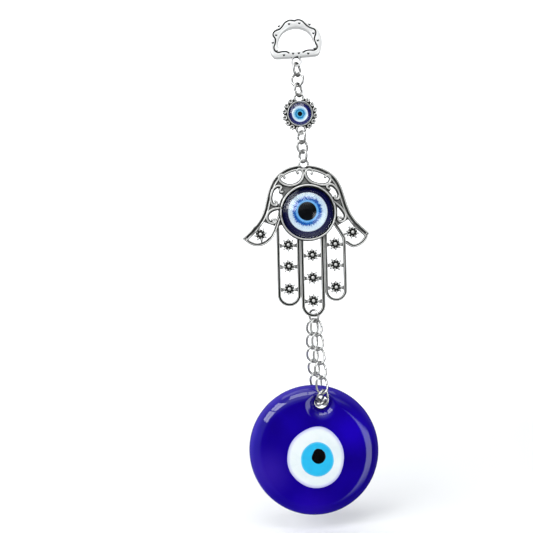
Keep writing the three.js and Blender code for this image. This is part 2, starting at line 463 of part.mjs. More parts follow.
// The eye's glass layers, each let a little into the one under it.
// Each layer's outline is a centre and a mean radius with its cosine and sine terms.
const pool = ([cx, cz], r0, terms, n) =>
  Array.from({ length: n }, (_, i) => {
    const a = (i / n) * 2 * Math.PI;
    const r = terms.reduce((sum, [k, c, q]) => sum + c * Math.cos(k * a) + q * Math.sin(k * a), r0);
    return [cx + r * Math.cos(a), cz + r * Math.sin(a)];
  });
const WHITE_AT = [0.54, -1.47], BLUE_AT = [1.29, -2.06], PUPIL_AT = [1.58, -0.66];
const drop = pool(WHITE_AT, 11.76, [[2, -0.46, -0.06], [3, -0.12, -0.14], [4, 0.04, 0], [5, 0.02, 0.05], [6, -0.06, 0.01]], 48);
const LAYER_GAP = 0.1;
const grow = (pts, cx, cz, by) => pts.map(([x, zz]) => { const l = Math.hypot(x - cx, zz - cz); return [cx + ((x - cx) * (l + by)) / l, cz + ((zz - cz) * (l + by)) / l]; });
const iris = pool(BLUE_AT, 6.82, [[2, -0.15, -0.05], [3, 0.02, -0.06]], 36), pupil = pool(PUPIL_AT, 2.9, [[2, -0.16, 0.01], [3, 0.07, -0.05]], 24);
disc = disc.subtract(plate(grow(drop, ...WHITE_AT, LAYER_GAP), 2.6, 9));
const white = plate(drop, 2.7, 4.5).subtract(plate(grow(iris, ...BLUE_AT, LAYER_GAP), 3.5, 9));
const blue = plate(iris, 3.6, 4.7).subtract(plate(grow(pupil, ...PUPIL_AT, LAYER_GAP), 4.1, 9));
const black = plate(pupil, 4.2, 4.9);
put("disc_cobalt_glass", disc, { color: 0x1a0aa0, metalness: 0, roughness: 0.08 }, discAt);
put("disc_white_glass", white, { color: 0xf0f4f5, metalness: 0, roughness: 0.1 }, discAt);
put("disc_light_blue_glass", blue, { color: 0x33bdec, metalness: 0, roughness: 0.1 }, discAt);
put("disc_pupil_glass", black, { color: 0x07070a, metalness: 0, roughness: 0.08 }, discAt);

export default group;
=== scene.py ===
import math

import bpy
import numpy as np
import openvdb
from mathutils import Matrix, Vector


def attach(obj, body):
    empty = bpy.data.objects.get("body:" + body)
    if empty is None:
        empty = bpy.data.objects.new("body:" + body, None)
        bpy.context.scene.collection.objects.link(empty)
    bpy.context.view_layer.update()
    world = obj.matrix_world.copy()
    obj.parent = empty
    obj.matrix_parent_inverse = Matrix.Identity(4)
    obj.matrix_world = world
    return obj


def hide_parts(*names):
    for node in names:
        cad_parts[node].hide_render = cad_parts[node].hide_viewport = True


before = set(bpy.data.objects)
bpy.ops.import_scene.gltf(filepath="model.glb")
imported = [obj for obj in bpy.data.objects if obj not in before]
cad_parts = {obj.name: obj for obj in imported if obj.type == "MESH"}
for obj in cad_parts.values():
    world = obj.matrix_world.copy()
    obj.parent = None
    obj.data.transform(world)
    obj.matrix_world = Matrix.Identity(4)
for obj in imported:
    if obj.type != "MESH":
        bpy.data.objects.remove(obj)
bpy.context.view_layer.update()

MM = 0.001

# ---------------------------------------------------------------- places, in millimetres, as in the CAD
AXIS_X = -0.28
UPPER_Z, UPPER_R, UPPER_YAW = (-16.645, -20.735, -24.825), 2.55, (58, -32, 58)
LOWER_Z, LOWER_R, LOWER_YAW = (-43.865, -47.655, -51.445), 2.4, (-58, 32, -58)
CONN_Z = -34.42
EYE_X, EYE_Z, LEAN = 0.05, -74.1246, 2.65
RAIL_X, FINGER_RING_Z, FINGER_R, FINGER_YAW = -0.42677, -115.48656, 2.4, -47
HOLE_X, HOLE_Z, HOLE_AT, SWING = -0.03, -149.97, 19.7, 12.1
DISC_R = 26.0

LINKS = {
    "chain_front_1": ((0.07323, -0.52, -116.78156), (0.15907, -1.67403, -123.28007)),
    "chain_front_2": ((0.14658, -1.50619, -122.33494), (0.23242, -2.66021, -128.83345)),
    "chain_front_3": ((0.21994, -2.49238, -127.88832), (0.30578, -3.6464, -134.38683)),
    "chain_front_4": ((0.29329, -3.47856, -133.4417), (0.37913, -4.63259, -139.94021)),
    "chain_front_5": ((0.36665, -4.46475, -138.99508), (0.4543, -5.64325, -145.63142)),
    "chain_back_1": ((-0.92677, 0.52, -116.78156), (-1.63186, 1.60468, -123.24698)),
    "chain_back_2": ((-1.5292, 1.44676, -122.30564), (-1.97174, 2.53199, -128.77434)),
    "chain_back_3": ((-1.90712, 2.37352, -127.82972), (-1.92428, 3.45911, -134.30056)),
    "chain_back_4": ((-1.92177, 3.30027, -133.3538), (-1.5135, 4.38556, -139.82282)),
    "chain_back_5": ((-1.57314, 4.22703, -138.87788), (-0.88803, 5.33484, -145.48116)),
    "chain_front_6": ((0.44, -5.45094, -144.54846), (0.44, -2.5, -150.34)),
    "chain_back_6": ((-1.0, 5.15379, -144.40195), (-0.5, 2.51, -150.34)),
    "chain_hole_link": ((-0.03, -3.25, -149.87), (-0.03, 3.25, -149.87)),
}
LINK_BODY = {}
for name in LINKS:
    LINK_BODY[name] = "hole_link" if name == "chain_hole_link" else "chain_level_" + name[-1]


# ================================================================ geometry helpers
def smooth_line(points, n, closed=False):
    """A centripetal Catmull-Rom line through the points, as n + 1 evenly spaced points (n when closed)."""
    p = np.asarray(points, float)
    if closed:
        p = np.vstack([p[-1], p, p[0], p[1]])
    else:
        p = np.vstack([2 * p[0] - p[1], p, 2 * p[-1] - p[-2]])
    out = []
    for i in range(1, len(p) - 2):
        p0, p1, p2, p3 = p[i - 1], p[i], p[i + 1], p[i + 2]
        t0 = 0.0
        t1 = t0 + math.sqrt(max(np.linalg.norm(p1 - p0), 1e-6))
        t2 = t1 + math.sqrt(max(np.linalg.norm(p2 - p1), 1e-6))
        t3 = t2 + math.sqrt(max(np.linalg.norm(p3 - p2), 1e-6))
        t = np.linspace(t1, t2, 24, endpoint=False)[:, None]
        a1 = (t1 - t) / (t1 - t0) * p0 + (t - t0) / (t1 - t0) * p1
        a2 = (t2 - t) / (t2 - t1) * p1 + (t - t1) / (t2 - t1) * p2
        a3 = (t3 - t) / (t3 - t2) * p2 + (t - t2) / (t3 - t2) * p3
        b1 = (t2 - t) / (t2 - t0) * a1 + (t - t0) / (t2 - t0) * a2
        b2 = (t3 - t) / (t3 - t1) * a2 + (t - t1) / (t3 - t1) * a3
        out.append((t2 - t) / (t2 - t1) * b1 + (t - t1) / (t2 - t1) * b2)
    out = np.vstack(out + [p[-2][None]])
    s = np.r_[0, np.cumsum(np.linalg.norm(np.diff(out, axis=0), axis=1))]
    want = np.linspace(0, s[-1], n + 1)
    if closed:
        want = want[:-1]
    return np.stack([np.interp(want, s, out[:, k]) for k in range(out.shape[1])], 1)


def offset_line(line, by):
    line = np.asarray(line, float)
    t = np.gradient(line, axis=0)
    t /= np.linalg.norm(t, axis=1)[:, None] + 1e-12
    return line + np.stack([-t[:, 1], t[:, 0]], 1) * by


def soften(line, passes=30):
    """The same line with its small kinks evened out. Its ends stay where they are."""
    line = np.array(line, float)
    for _ in range(passes):
        line[1:-1] += 0.25 * (line[:-2] + line[2:] - 2 * line[1:-1])
    return line


def circle(cx, cz, r, n=48, a0=0.0, a1=360.0):
    a = np.radians(np.linspace(a0, a1, n + 1))
    return np.stack([cx + r * np.cos(a), cz + r * np.sin(a)], 1)


class Solid:
    """A signed distance field on a grid, in millimetres. x and z are the front view and y is the depth, the front being -y."""

    def __init__(self, low, high, h):
        self.h = h
        self.low = np.asarray(low, float)
        n = np.ceil((np.asarray(high) - self.low) / h).astype(int) + 1
        self.x, self.y, self.z = (self.low[k] + h * np.arange(n[k]) for k in range(3))
        self.X, self.Z = np.meshgrid(self.x, self.z, indexing="ij")
        self.f = np.full(tuple(n), 3.0, np.float32)

    def near(self, *lines, reach=2.6, closed=False):
        """The distance in the front view to some lines, exact within reach."""
        best = np.full(self.X.shape, reach * reach)
        for line in lines:
            p = np.asarray(line, float)
            if closed:
                p = np.vstack([p, p[:1]])
            for a, b in zip(p[:-1], p[1:]):
                x0, x1 = np.searchsorted(self.x, [min(a[0], b[0]) - reach, max(a[0], b[0]) + reach])
                z0, z1 = np.searchsorted(self.z, [min(a[1], b[1]) - reach, max(a[1], b[1]) + reach])
                if x0 >= x1 or z0 >= z1:
                    continue
                s = (slice(x0, x1), slice(z0, z1))
                d = b - a
                length2 = max(float(d @ d), 1e-12)
                px, pz = self.X[s] - a[0], self.Z[s] - a[1]
                t = np.clip((px * d[0] + pz * d[1]) / length2, 0, 1)
                np.minimum(best[s], (px - t * d[0]) ** 2 + (pz - t * d[1]) ** 2, out=best[s])
        return np.sqrt(best)

    def inside(self, poly, reach=2.6):
        """The signed distance in the front view to a closed outline, negative inside."""
        p = np.asarray(poly, float)
        d = self.near(p, reach=reach, closed=True)
        odd = np.zeros(self.X.shape, bool)
        for a, b in zip(p, np.roll(p, -1, axis=0)):
            if a[1] == b[1]:
                continue
            crosses = (a[1] > self.Z) != (b[1] > self.Z)
            at = (b[0] - a[0]) * (self.Z - a[1]) / (b[1] - a[1]) + a[0]
            odd ^= crosses & (self.X < at)
        return np.where(odd, -d, d)

    def _profile(self, d2, half, y0, y1, rr):
        d2 = d2.astype(np.float32)[:, None, :]
        yc, hh = (y0 + y1) / 2, (y1 - y0) / 2
        rr = min(rr, hh, half if half > 0 else hh)
        dx = d2 - np.float32(half - rr)
        dy = (np.abs(self.y - yc) - (hh - rr)).astype(np.float32)[None, :, None]
        return np.sqrt(np.maximum(dx, 0) ** 2 + np.maximum(dy, 0) ** 2) + np.minimum(np.maximum(dx, dy), 0) - np.float32(rr)

    def add(self, g):
        np.minimum(self.f, g, out=self.f)

    def blend(self, g, k):
        h = np.clip(0.5 + 0.5 * (self.f - g) / k, 0, 1)
        self.f = self.f * (1 - h) + g * h - k * h * (1 - h)

    def cut(self, g):
        np.maximum(self.f, -g, out=self.f)

    def stroke(self, d2, r, y0, y1):
        """A bar along lines, 2r wide, from depth y0 to y1, with round edges."""
        self.add(self._profile(d2, r, y0, y1, r * 0.98))

    def band(self, d2, half, y0, y1, rr=0.18):
        self.add(self._profile(d2, half, y0, y1, rr))

    def region(self, sd, y0, y1, rr=0.18):
        big = self._profile(sd + 50.0, 50.0, y0, y1, rr)
        self.add(big)

    def region_field(self, sd, y0, y1, rr=0.18):
        return self._profile(sd + 50.0, 50.0, y0, y1, rr)

    def groove(self, d2, r, y):
        """Cuts a round-bottomed groove of radius r whose centre is at depth y."""
        d = d2.astype(np.float32)[:, None, :]
        self.cut(np.sqrt(d * d + ((self.y - y) ** 2).astype(np.float32)[None, :, None]) - np.float32(r))

    def ball(self, cx, cz, yc, r, squash=1.0):
        x0, x1 = np.searchsorted(self.x, [cx - r - 1.5, cx + r + 1.5])
        z0, z1 = np.searchsorted(self.z, [cz - r - 1.5, cz + r + 1.5])
        s = (slice(x0, x1), slice(None), slice(z0, z1))
        g = np.sqrt((self.x[x0:x1, None, None] - cx) ** 2 + ((self.y[None, :, None] - yc) / squash) ** 2 + (self.z[None, None, z0:z1] - cz) ** 2) - r
        self.f[s] = np.minimum(self.f[s], g)

    def lathe(self, cx, cz, profile):
        """A body of revolution about the depth axis: a closed outline of (radius, y)."""
        return self.lathe_field(cx, cz, profile)

    def lathe_field(self, cx, cz, profile):
        p = np.asarray(profile, float)
        R = np.arange(0, max(p[:, 0]) + 3.2, self.h * 0.5)
        RR, YY = np.meshgrid(R, self.y, indexing="ij")
        best = np.full(RR.shape, 9.0)
        odd = np.zeros(RR.shape, bool)
        for a, b in zip(p, np.roll(p, -1, axis=0)):
            d = b - a
            px, py = RR - a[0], YY - a[1]
            if not (a[0] == 0 and b[0] == 0):
                t = np.clip((px * d[0] + py * d[1]) / max(float(d @ d), 1e-12), 0, 1)
                np.minimum(best, (px - t * d[0]) ** 2 + (py - t * d[1]) ** 2, out=best)
            if a[1] != b[1]:
                crosses = (a[1] > YY) != (b[1] > YY)
                odd ^= crosses & (RR < (b[0] - a[0]) * (YY - a[1]) / (b[1] - a[1]) + a[0])
        sd = np.where(odd, -np.sqrt(best), np.sqrt(best))
        r = np.clip(np.hypot(self.X - cx, self.Z - cz) / (R[1] - R[0]), 0, len(R) - 1.001)
        i = r.astype(int)
        w = (r - i).astype(np.float32)
        out = np.empty(self.f.shape, np.float32)
        for j in range(len(self.y)):
            out[:, j, :] = sd[i, j] * (1 - w) + sd[i + 1, j] * w
        return out

    def at(self, p):
        """The field at points, by trilinear interpolation."""
        q = (p - self.low) / self.h
        out = 0
        base = np.floor(q).astype(int)
        w = q - base
        n = self.f.shape
        for dx in (0, 1):
            for dy in (0, 1):
                for dz in (0, 1):
                    i = np.clip(base[:, 0] + dx, 0, n[0] - 1)
                    j = np.clip(base[:, 1] + dy, 0, n[1] - 1)
                    k = np.clip(base[:, 2] + dz, 0, n[2] - 1)
                    out = out + self.f[i, j, k] * (w[:, 0] if dx else 1 - w[:, 0]) * (w[:, 1] if dy else 1 - w[:, 1]) * (w[:, 2] if dz else 1 - w[:, 2])
        return out

    def sample(self, flat, p):
        """A front-view map at points."""
        qx, qz = (p[:, 0] - self.low[0]) / self.h, (p[:, 2] - self.low[2]) / self.h
        i, k = np.floor(qx).astype(int), np.floor(qz).astype(int)
        i, k = np.clip(i, 0, flat.shape[0] - 2), np.clip(k, 0, flat.shape[1] - 2)
        u, v = np.clip(qx - i, 0, 1), np.clip(qz - k, 0, 1)
        return flat[i, k] * (1 - u) * (1 - v) + flat[i + 1, k] * u * (1 - v) + flat[i, k + 1] * (1 - u) * v + flat[i + 1, k + 1] * u * v

    def gradient(self, p, e=None):
        e = e or self.h * 0.7
        g = np.stack([self.at(p + np.eye(3)[k] * e) - self.at(p - np.eye(3)[k] * e) for k in range(3)], 1)
        return g / (np.linalg.norm(g, axis=1)[:, None] + 1e-9)

    def mesh(self):
        grid = openvdb.FloatGrid(3.0)
        grid.copyFromArray(self.f)
        points, quads = grid.convertToQuads(0.0)
        p = points * self.h + self.low
        n = self.gradient(p)
        hollow = {}
        for reach in (0.3, 0.7):
            hollow[reach] = np.clip(1 - self.at(p + n * reach) / reach, 0, 1)
        edge = np.clip(1 + self.at(p - n * 0.35) / 0.35, 0, 1)
        return p, quads, n, hollow, edge


def link(obj):
    bpy.context.scene.collection.objects.link(obj)
    return obj


def mesh_object(name, verts, faces, material, attributes=None, place=None, smooth=True):
    """An object from points in millimetres of its own frame, and faces of three or four corners."""
    verts = np.asarray(verts, float)
    quads = [f for f in (faces if isinstance(faces, list) else [faces]) if len(f)]
    mesh = bpy.data.meshes.new(name)
    total = sum(len(f) for f in quads)
    loops = sum(f.size for f in quads)
    mesh.vertices.add(len(verts))
    spot = verts * MM
    turned_to = spot if place is None else spot @ np.array(place.to_3x3()).T + np.array(place.translation)
    mesh.vertices.foreach_set("co", turned_to.astype(np.float32).ravel())
    mesh.loops.add(loops)
    mesh.polygons.add(total)
    mesh.loops.foreach_set("vertex_index", np.concatenate([f.ravel() for f in quads]).astype(np.int32))
    sizes = np.concatenate([np.full(len(f), f.shape[1], np.int32) for f in quads])
    mesh.polygons.foreach_set("loop_start", np.r_[0, np.cumsum(sizes)[:-1]].astype(np.int32))
    mesh.update(calc_edges=True)
    mesh.validate()
    if smooth:
        mesh.polygons.foreach_set("use_smooth", np.ones(len(mesh.polygons), bool))
    for key, values in (attributes or {}).items():
        a = mesh.attributes.new(key, "FLOAT", "POINT")
        a.data.foreach_set("value", np.asarray(values, np.float32))
    own = mesh.attributes.new("spot", "FLOAT_VECTOR", "POINT")
    own.data.foreach_set("vector", spot.astype(np.float32).ravel())
    mesh.materials.append(material)
    obj = link(bpy.data.objects.new(name, mesh))
    # faces outward
    mesh.calc_loop_triangles()
    tri = np.empty(len(mesh.loop_triangles) * 3, np.int32)
    mesh.loop_triangles.foreach_get("vertices", tri)
    v = verts[tri.reshape(-1, 3)]
    if np.einsum("ij,ij->i", v[:, 0], np.cross(v[:, 1], v[:, 2])).sum() < 0:
        mesh.flip_normals()
    return obj


def place_at(x, y, z, turn_z=0.0, turn_y=0.0):
    return Matrix.Translation((x * MM, y * MM, z * MM)) @ Matrix.Rotation(math.radians(turn_z), 4, "Z") @ Matrix.Rotation(math.radians(turn_y), 4, "Y")


def sweep(points, radius, sides, closed=True, hint=(0, 0, 1), caps=True):
    """A round wire along points. radius may be one number or one for each point."""
    p = np.asarray(points, float)
    n = len(p)
    r = np.full(n, radius, float) if np.isscalar(radius) else np.asarray(radius, float)
    if closed:
        t = np.roll(p, -1, 0) - np.roll(p, 1, 0)
    else:
        t = np.gradient(p, axis=0)
    t /= np.linalg.norm(t, axis=1)[:, None]
    u = np.asarray(hint, float)
    frames = []
    for i in range(n):
        u = u - t[i] * (u @ t[i])
        if np.linalg.norm(u) < 1e-6:
            u = np.cross(t[i], (1.0, 0.3, 0.2))
        u = u / np.linalg.norm(u)
        frames.append((u, np.cross(t[i], u)))
    a = np.linspace(0, 2 * np.pi, sides, endpoint=False)
    rings = [p[i] + r[i] * (np.cos(a)[:, None] * frames[i][0] + np.sin(a)[:, None] * frames[i][1]) for i in range(n)]
    verts = np.vstack(rings)
    i, j = np.meshgrid(np.arange(n if closed else n - 1), np.arange(sides), indexing="ij")
    i2, j2 = (i + 1) % n, (j + 1) % sides
    quads = np.stack([i * sides + j, i * sides + j2, i2 * sides + j2, i2 * sides + j], -1).reshape(-1, 4)
    faces = [quads]
    if not closed and caps:
        c = len(verts)
        verts = np.vstack([verts, p[:1], p[-1:]])
        k = np.arange(sides)
        faces.append(np.stack([np.full(sides, c), (k + 1) % sides, k], 1))
        last = (n - 1) * sides
        faces.append(np.stack([np.full(sides, c + 1), last + k, last + (k + 1) % sides], 1))
    return verts, faces


def turned(profile, segments=96):
    """A body of revolution about the y axis from (radius, y) points, axis to axis."""
    p = np.asarray(profile, float)
    a = np.linspace(0, 2 * np.pi, segments, endpoint=False)
    core = p[1:-1]
    n = len(core)
    verts = [np.array([[0, p[0, 1], 0]]), np.array([[0, p[-1, 1], 0]])]
    for r, y in core:
        verts.append(np.stack([r * np.cos(a), np.full(segments, y), r * np.sin(a)], 1))
    verts = np.vstack(verts)
    i, j = np.meshgrid(np.arange(n - 1), np.arange(segments), indexing="ij")
    j2 = (j + 1) % segments
    quads = np.stack([2 + i * segments + j, 2 + i * segments + j2, 2 + (i + 1) * segments + j2, 2 + (i + 1) * segments + j], -1).reshape(-1, 4)
    k = np.arange(segments)
    k2 = (k + 1) % segments
    first = np.stack([np.zeros(segments, int), 2 + k2, 2 + k], 1)
    base = 2 + (n - 1) * segments
    last = np.stack([np.ones(segments, int), base + k, base + k2], 1)
    return verts, [quads, first, last]


# ================================================================ materials
class Nodes:
    def __init__(self, name):
        self.material = bpy.data.materials.new(name)
        self.material.use_nodes = True
        self.tree = self.material.node_tree
        self.tree.nodes.clear()
        self.out = self.tree.nodes.new("ShaderNodeOutputMaterial")

    def node(self, kind, **settings):
        n = self.tree.nodes.new("ShaderNode" + kind)
        for k, v in settings.items():
            setattr(n, k, v)
        return n

    def link(self, a, b):
        self.tree.links.new(a, b)

    def value(self, x, socket):
        if isinstance(x, bpy.types.NodeSocket):
            self.link(x, socket)
        elif x is not None:
            if hasattr(socket.default_value, "__len__") and not hasattr(x, "__len__"):
                x = (x,) * len(socket.default_value)
            if hasattr(x, "__len__") and len(x) == 3 and len(socket.default_value) == 4:
                x = (*x, 1.0)
            socket.default_value = x

    def math(self, op, a, b=None, c=None, clamp=False):
        n = self.node("Math", operation=op, use_clamp=clamp)
        for x, s in zip((a, b, c), n.inputs):
            self.value(x, s)
        return n.outputs[0]

    def mix(self, f, a, b, kind="RGBA"):
        n = self.node("Mix", data_type=kind)
        index = {"RGBA": (0, 6, 7, 2), "FLOAT": (0, 2, 3, 0)}[kind]
        self.value(f, n.inputs[index[0]])
        self.value(a, n.inputs[index[1]])
        self.value(b, n.inputs[index[2]])
        return n.outputs[index[3]]

    def attribute(self, name):
        return self.node("Attribute", attribute_name=name).outputs["Fac"]

    def local(self):
        """The point in the piece's own frame, in metres, kept with the mesh."""
        node = self.node("Attribute")
        node.attribute_name = "spot"
        return node.outputs["Vector"]

    def noise(self, scale, detail=2.0, rough=0.5, vector=None, distortion=0.0):
        n = self.node("TexNoise")
        self.value(vector if vector is not None else self.local(), n.inputs["Vector"])
        n.inputs["Scale"].default_value = scale
        n.inputs["Detail"].default_value = detail
        n.inputs["Roughness"].default_value = rough
        n.inputs["Distortion"].default_value = distortion
        return n.outputs["Fac"]

    def ramp(self, f, stops, mode="LINEAR"):
        n = self.node("ValToRGB")
        e = n.color_ramp.elements
        while len(e) < len(stops):
            e.new(0.5)
        for s, (pos, col) in zip(e, stops):
            s.position = pos
            s.color = (*col, 1.0) if hasattr(col, "__len__") else (col, col, col, 1.0)
        n.color_ramp.interpolation = mode
        self.value(f, n.inputs[0])
        return n.outputs[0]

    def smooth(self, f, low, high, to_low=0.0, to_high=1.0):
        n = self.node("MapRange", interpolation_type="SMOOTHSTEP")
        self.value(f, n.inputs["Value"])
        for k, v in (("From Min", low), ("From Max", high), ("To Min", to_low), ("To Max", to_high)):
            n.inputs[k].default_value = v
        return n.outputs[0]

    def bump(self, height, strength, distance):
        n = self.node("Bump")
        n.inputs["Strength"].default_value = strength
        n.inputs["Distance"].default_value = distance
        self.value(height, n.inputs["Height"])
        return n.outputs[0]

    def principled(self, **values):
        n = self.node("BsdfPrincipled")
        for k, v in values.items():
            self.value(v, n.inputs[k.replace("_", " ")])
        return n

    def finish(self, shader):
        self.link(shader, self.out.inputs["Surface"])
        return self.material


def antique_silver(name, bright=(0.72, 0.72, 0.7), dark=(0.009, 0.01, 0.008), rough=0.27, grain=1.0, metallic=0.5):
    """Cast, plated and blackened metal: polished high parts, darkened where the attribute read below is high. That
    attribute holds the oxide in the hollows and painted shade on side walls and beside raised wires.
    """
    m = Nodes(name)
    patina_and_painted_shade = m.attribute("patina_and_painted_shade")
    blotch = m.noise(700, 4, 0.6)
    fine = m.noise(3800, 3, 0.6)
    f = m.math("ADD", patina_and_painted_shade, m.math("MULTIPLY", m.math("SUBTRACT", blotch, 0.5), 0.35 * grain))
    f = m.math("ADD", f, m.math("MULTIPLY", m.math("SUBTRACT", fine, 0.5), 0.3 * grain))
    f = m.smooth(f, 0.16, 0.72)
    tone = m.mix(m.noise(260, 3), bright, tuple(c * 0.86 for c in bright))
    # dark where the attribute is high: oxide in the hollows, and painted shade on walls and beside raised wires
    colour = m.mix(f, tone, dark)
    r = m.mix(f, m.math("ADD", rough, m.math("MULTIPLY", m.noise(1500, 3), 0.16)), 0.5, "FLOAT")
    metallic = m.mix(f, metallic, 0.35, "FLOAT")
    height = m.math("ADD", m.math("MULTIPLY", fine, 0.6), blotch)
    shader = m.principled(Base_Color=colour, Metallic=metallic, Roughness=r, Normal=m.bump(height, 0.22 * grain, 0.00012))
    return m.finish(shader.outputs[0])


def bright_wire(name, tint=(0.52, 0.52, 0.51), rough=0.14):
    """Drawn and plated wire with faint draw lines, small scuffs, a little grime in its seam and painted shade on its
    sides.
    """
    m = Nodes(name)
    along = m.attribute("along")
    around = m.attribute("around")
    vec = m.node("CombineXYZ")
    m.value(m.math("MULTIPLY", along, 0.25), vec.inputs[0])
    m.value(m.math("MULTIPLY", around, 6.0), vec.inputs[1])
    lines = m.noise(5.0, 3, 0.6, vector=vec.outputs[0])
    scuff = m.noise(1300, 3, 0.6)
    wear = m.smooth(scuff, 0.56, 0.72)
    patina_and_painted_shade = m.attribute("patina_and_painted_shade")
    colour = m.mix(m.math("MULTIPLY", wear, 0.35), tint, (0.45, 0.445, 0.43))
    # dark at the seam's grime, and painted shade on the wire's sides
    colour = m.mix(patina_and_painted_shade, colour, (0.05, 0.05, 0.045))
    r = m.math("ADD", rough, m.math("ADD", m.math("MULTIPLY", lines, 0.08), m.math("MULTIPLY", wear, 0.15)))
    shader = m.principled(Base_Color=colour, Metallic=0.65, Roughness=r, Normal=m.bump(m.math("ADD", lines, m.math("MULTIPLY", scuff, 0.5)), 0.12, 0.00004))
    return m.finish(shader.outputs[0])


def polar(m, centre=(0.0, 0.0)):
    """The radius in millimetres and the direction as a flat vector, from the piece's own x and z."""
    sep = m.node("SeparateXYZ")
    m.link(m.local(), sep.inputs[0])
    x = m.math("SUBTRACT", m.math("MULTIPLY", sep.outputs[0], 1000.0), centre[0])
    z = m.math("SUBTRACT", m.math("MULTIPLY", sep.outputs[2], 1000.0), centre[1])
    r = m.math("SQRT", m.math("ADD", m.math("MULTIPLY", x, x), m.math("MULTIPLY", z, z)))
    safe = m.math("MAXIMUM", r, 0.01)
    return r, m.math("DIVIDE", x, safe), m.math("DIVIDE", z, safe), x, z


def big_eye_print():
    m = Nodes("printed_eye_large")
    rim_r = polar(m, (0.0, 0.3))[0]
    r, cx, cz, x, z = polar(m, (-0.22, 0.62))

    def fibre(scale, radial, seed):
        v = m.node("CombineXYZ")
        m.value(m.math("MULTIPLY", cx, scale), v.inputs[0])
        m.value(m.math("MULTIPLY", cz, scale), v.inputs[1])
        m.value(m.math("ADD", m.math("MULTIPLY", r, radial), seed), v.inputs[2])
        return m.noise(1.0, 3, 0.65, vector=v.outputs[0])

    coarse, fine, hair = fibre(9, 0.5, 3.0), fibre(26, 0.7, 7.0), fibre(60, 1.1, 1.0)
    wobble = m.math("ADD", m.math("MULTIPLY", m.math("SUBTRACT", coarse, 0.5), 1.8), m.math("MULTIPLY", m.math("SUBTRACT", fine, 0.5), 2.6))
    pupil = m.smooth(r, 3.6, 3.92)
    inner = m.smooth(m.math("ADD", r, m.math("MULTIPLY", wobble, 0.5)), 4.35, 4.75)
    iris = m.smooth(m.math("ADD", r, wobble), 5.55, 6.15)
    edge = m.smooth(m.math("ADD", rim_r, m.math("MULTIPLY", m.math("SUBTRACT", fine, 0.5), 0.25)), 7.72, 7.98)
    black = (0.0015, 0.002, 0.003)
    light = m.mix(hair, (0.06, 0.34, 0.78), (0.34, 0.7, 0.95))
    blue = m.mix(m.smooth(fine, 0.35, 0.7), (0.001, 0.045, 0.33), (0.01, 0.2, 0.62))
    pale = m.mix(m.smooth(hair, 0.36, 0.6), (0.34, 0.64, 0.84), (0.9, 0.95, 0.96))
    towards = m.smooth(r, 5.6, 7.6)
    white = m.mix(m.math("MULTIPLY", towards, 0.8), pale, m.mix(m.smooth(hair, 0.3, 0.55), (0.72, 0.84, 0.89), (0.95, 0.98, 0.97)))
    # small coloured specks round the white
    cells = m.node("TexVoronoi", feature="F1")
    m.link(m.local(), cells.inputs["Vector"])
    cells.inputs["Scale"].default_value = 1900.0
    dot = m.smooth(cells.outputs["Distance"], 0.12, 0.3, 1.0, 0.0)
    ring = m.math("MULTIPLY", m.smooth(r, 5.9, 6.3), m.smooth(r, 6.9, 7.5, 1.0, 0.0))
    speck = m.mix(cells.outputs["Color"], (0.05, 0.2, 0.7), (0.8, 0.45, 0.6))
    white = m.mix(m.math("MULTIPLY", m.math("MULTIPLY", dot, ring), 0.55), white, speck)
    navy = m.mix(m.noise(500, 3), (0.0015, 0.0015, 0.045), (0.002, 0.003, 0.08))
    c = m.mix(pupil, black, light)
    c = m.mix(inner, c, blue)
    c = m.mix(iris, c, white)
    c = m.mix(edge, c, navy)
    shader = m.principled(Base_Color=c, Roughness=m.math("ADD", 0.35, m.math("MULTIPLY", fine, 0.2)), Normal=m.bump(hair, 0.05, 0.00002))
    shader.inputs["Specular IOR Level"].default_value = 0.1
    return m.finish(shader.outputs[0])


def small_eye_print():
    m = Nodes("printed_eye_small")
    r, cx, cz, x, z = polar(m)
    v = m.node("CombineXYZ")
    m.value(m.math("MULTIPLY", cx, 9), v.inputs[0])
    m.value(m.math("MULTIPLY", cz, 9), v.inputs[1])
    m.value(m.math("MULTIPLY", r, 0.8), v.inputs[2])
    hair = m.noise(1.0, 3, 0.6, vector=v.outputs[0])
    wobble = m.math("MULTIPLY", m.math("SUBTRACT", hair, 0.5), 0.7)
    rr = m.math("ADD", r, wobble)
    c = m.mix(m.smooth(r, 0.85, 1.08), (0.002, 0.004, 0.006), m.mix(hair, (0.16, 0.62, 0.8), (0.03, 0.36, 0.66)))
    c = m.mix(m.smooth(rr, 1.3, 1.5), c, m.mix(hair, (0.003, 0.09, 0.3), (0.01, 0.24, 0.5)))
    c = m.mix(m.smooth(rr, 1.75, 2.0), c, m.mix(hair, (0.05, 0.42, 0.66), (0.3, 0.7, 0.85)))
    c = m.mix(m.smooth(rr, 2.15, 2.5), c, m.mix(hair, (0.5, 0.76, 0.9), (0.9, 0.95, 0.97)))
    c = m.mix(m.smooth(r, 2.6, 2.95), c, (0.9, 0.94, 0.97))
    c = m.mix(m.smooth(r, 3.1, 3.3), c, m.mix(m.noise(900, 2), (0.003, 0.004, 0.09), (0.006, 0.01, 0.2)))
    shader = m.principled(Base_Color=c, Roughness=m.math("ADD", 0.35, m.math("MULTIPLY", hair, 0.2)), Normal=m.bump(hair, 0.05, 0.00002))
    shader.inputs["Specular IOR Level"].default_value = 0.1
    return m.finish(shader.outputs[0])


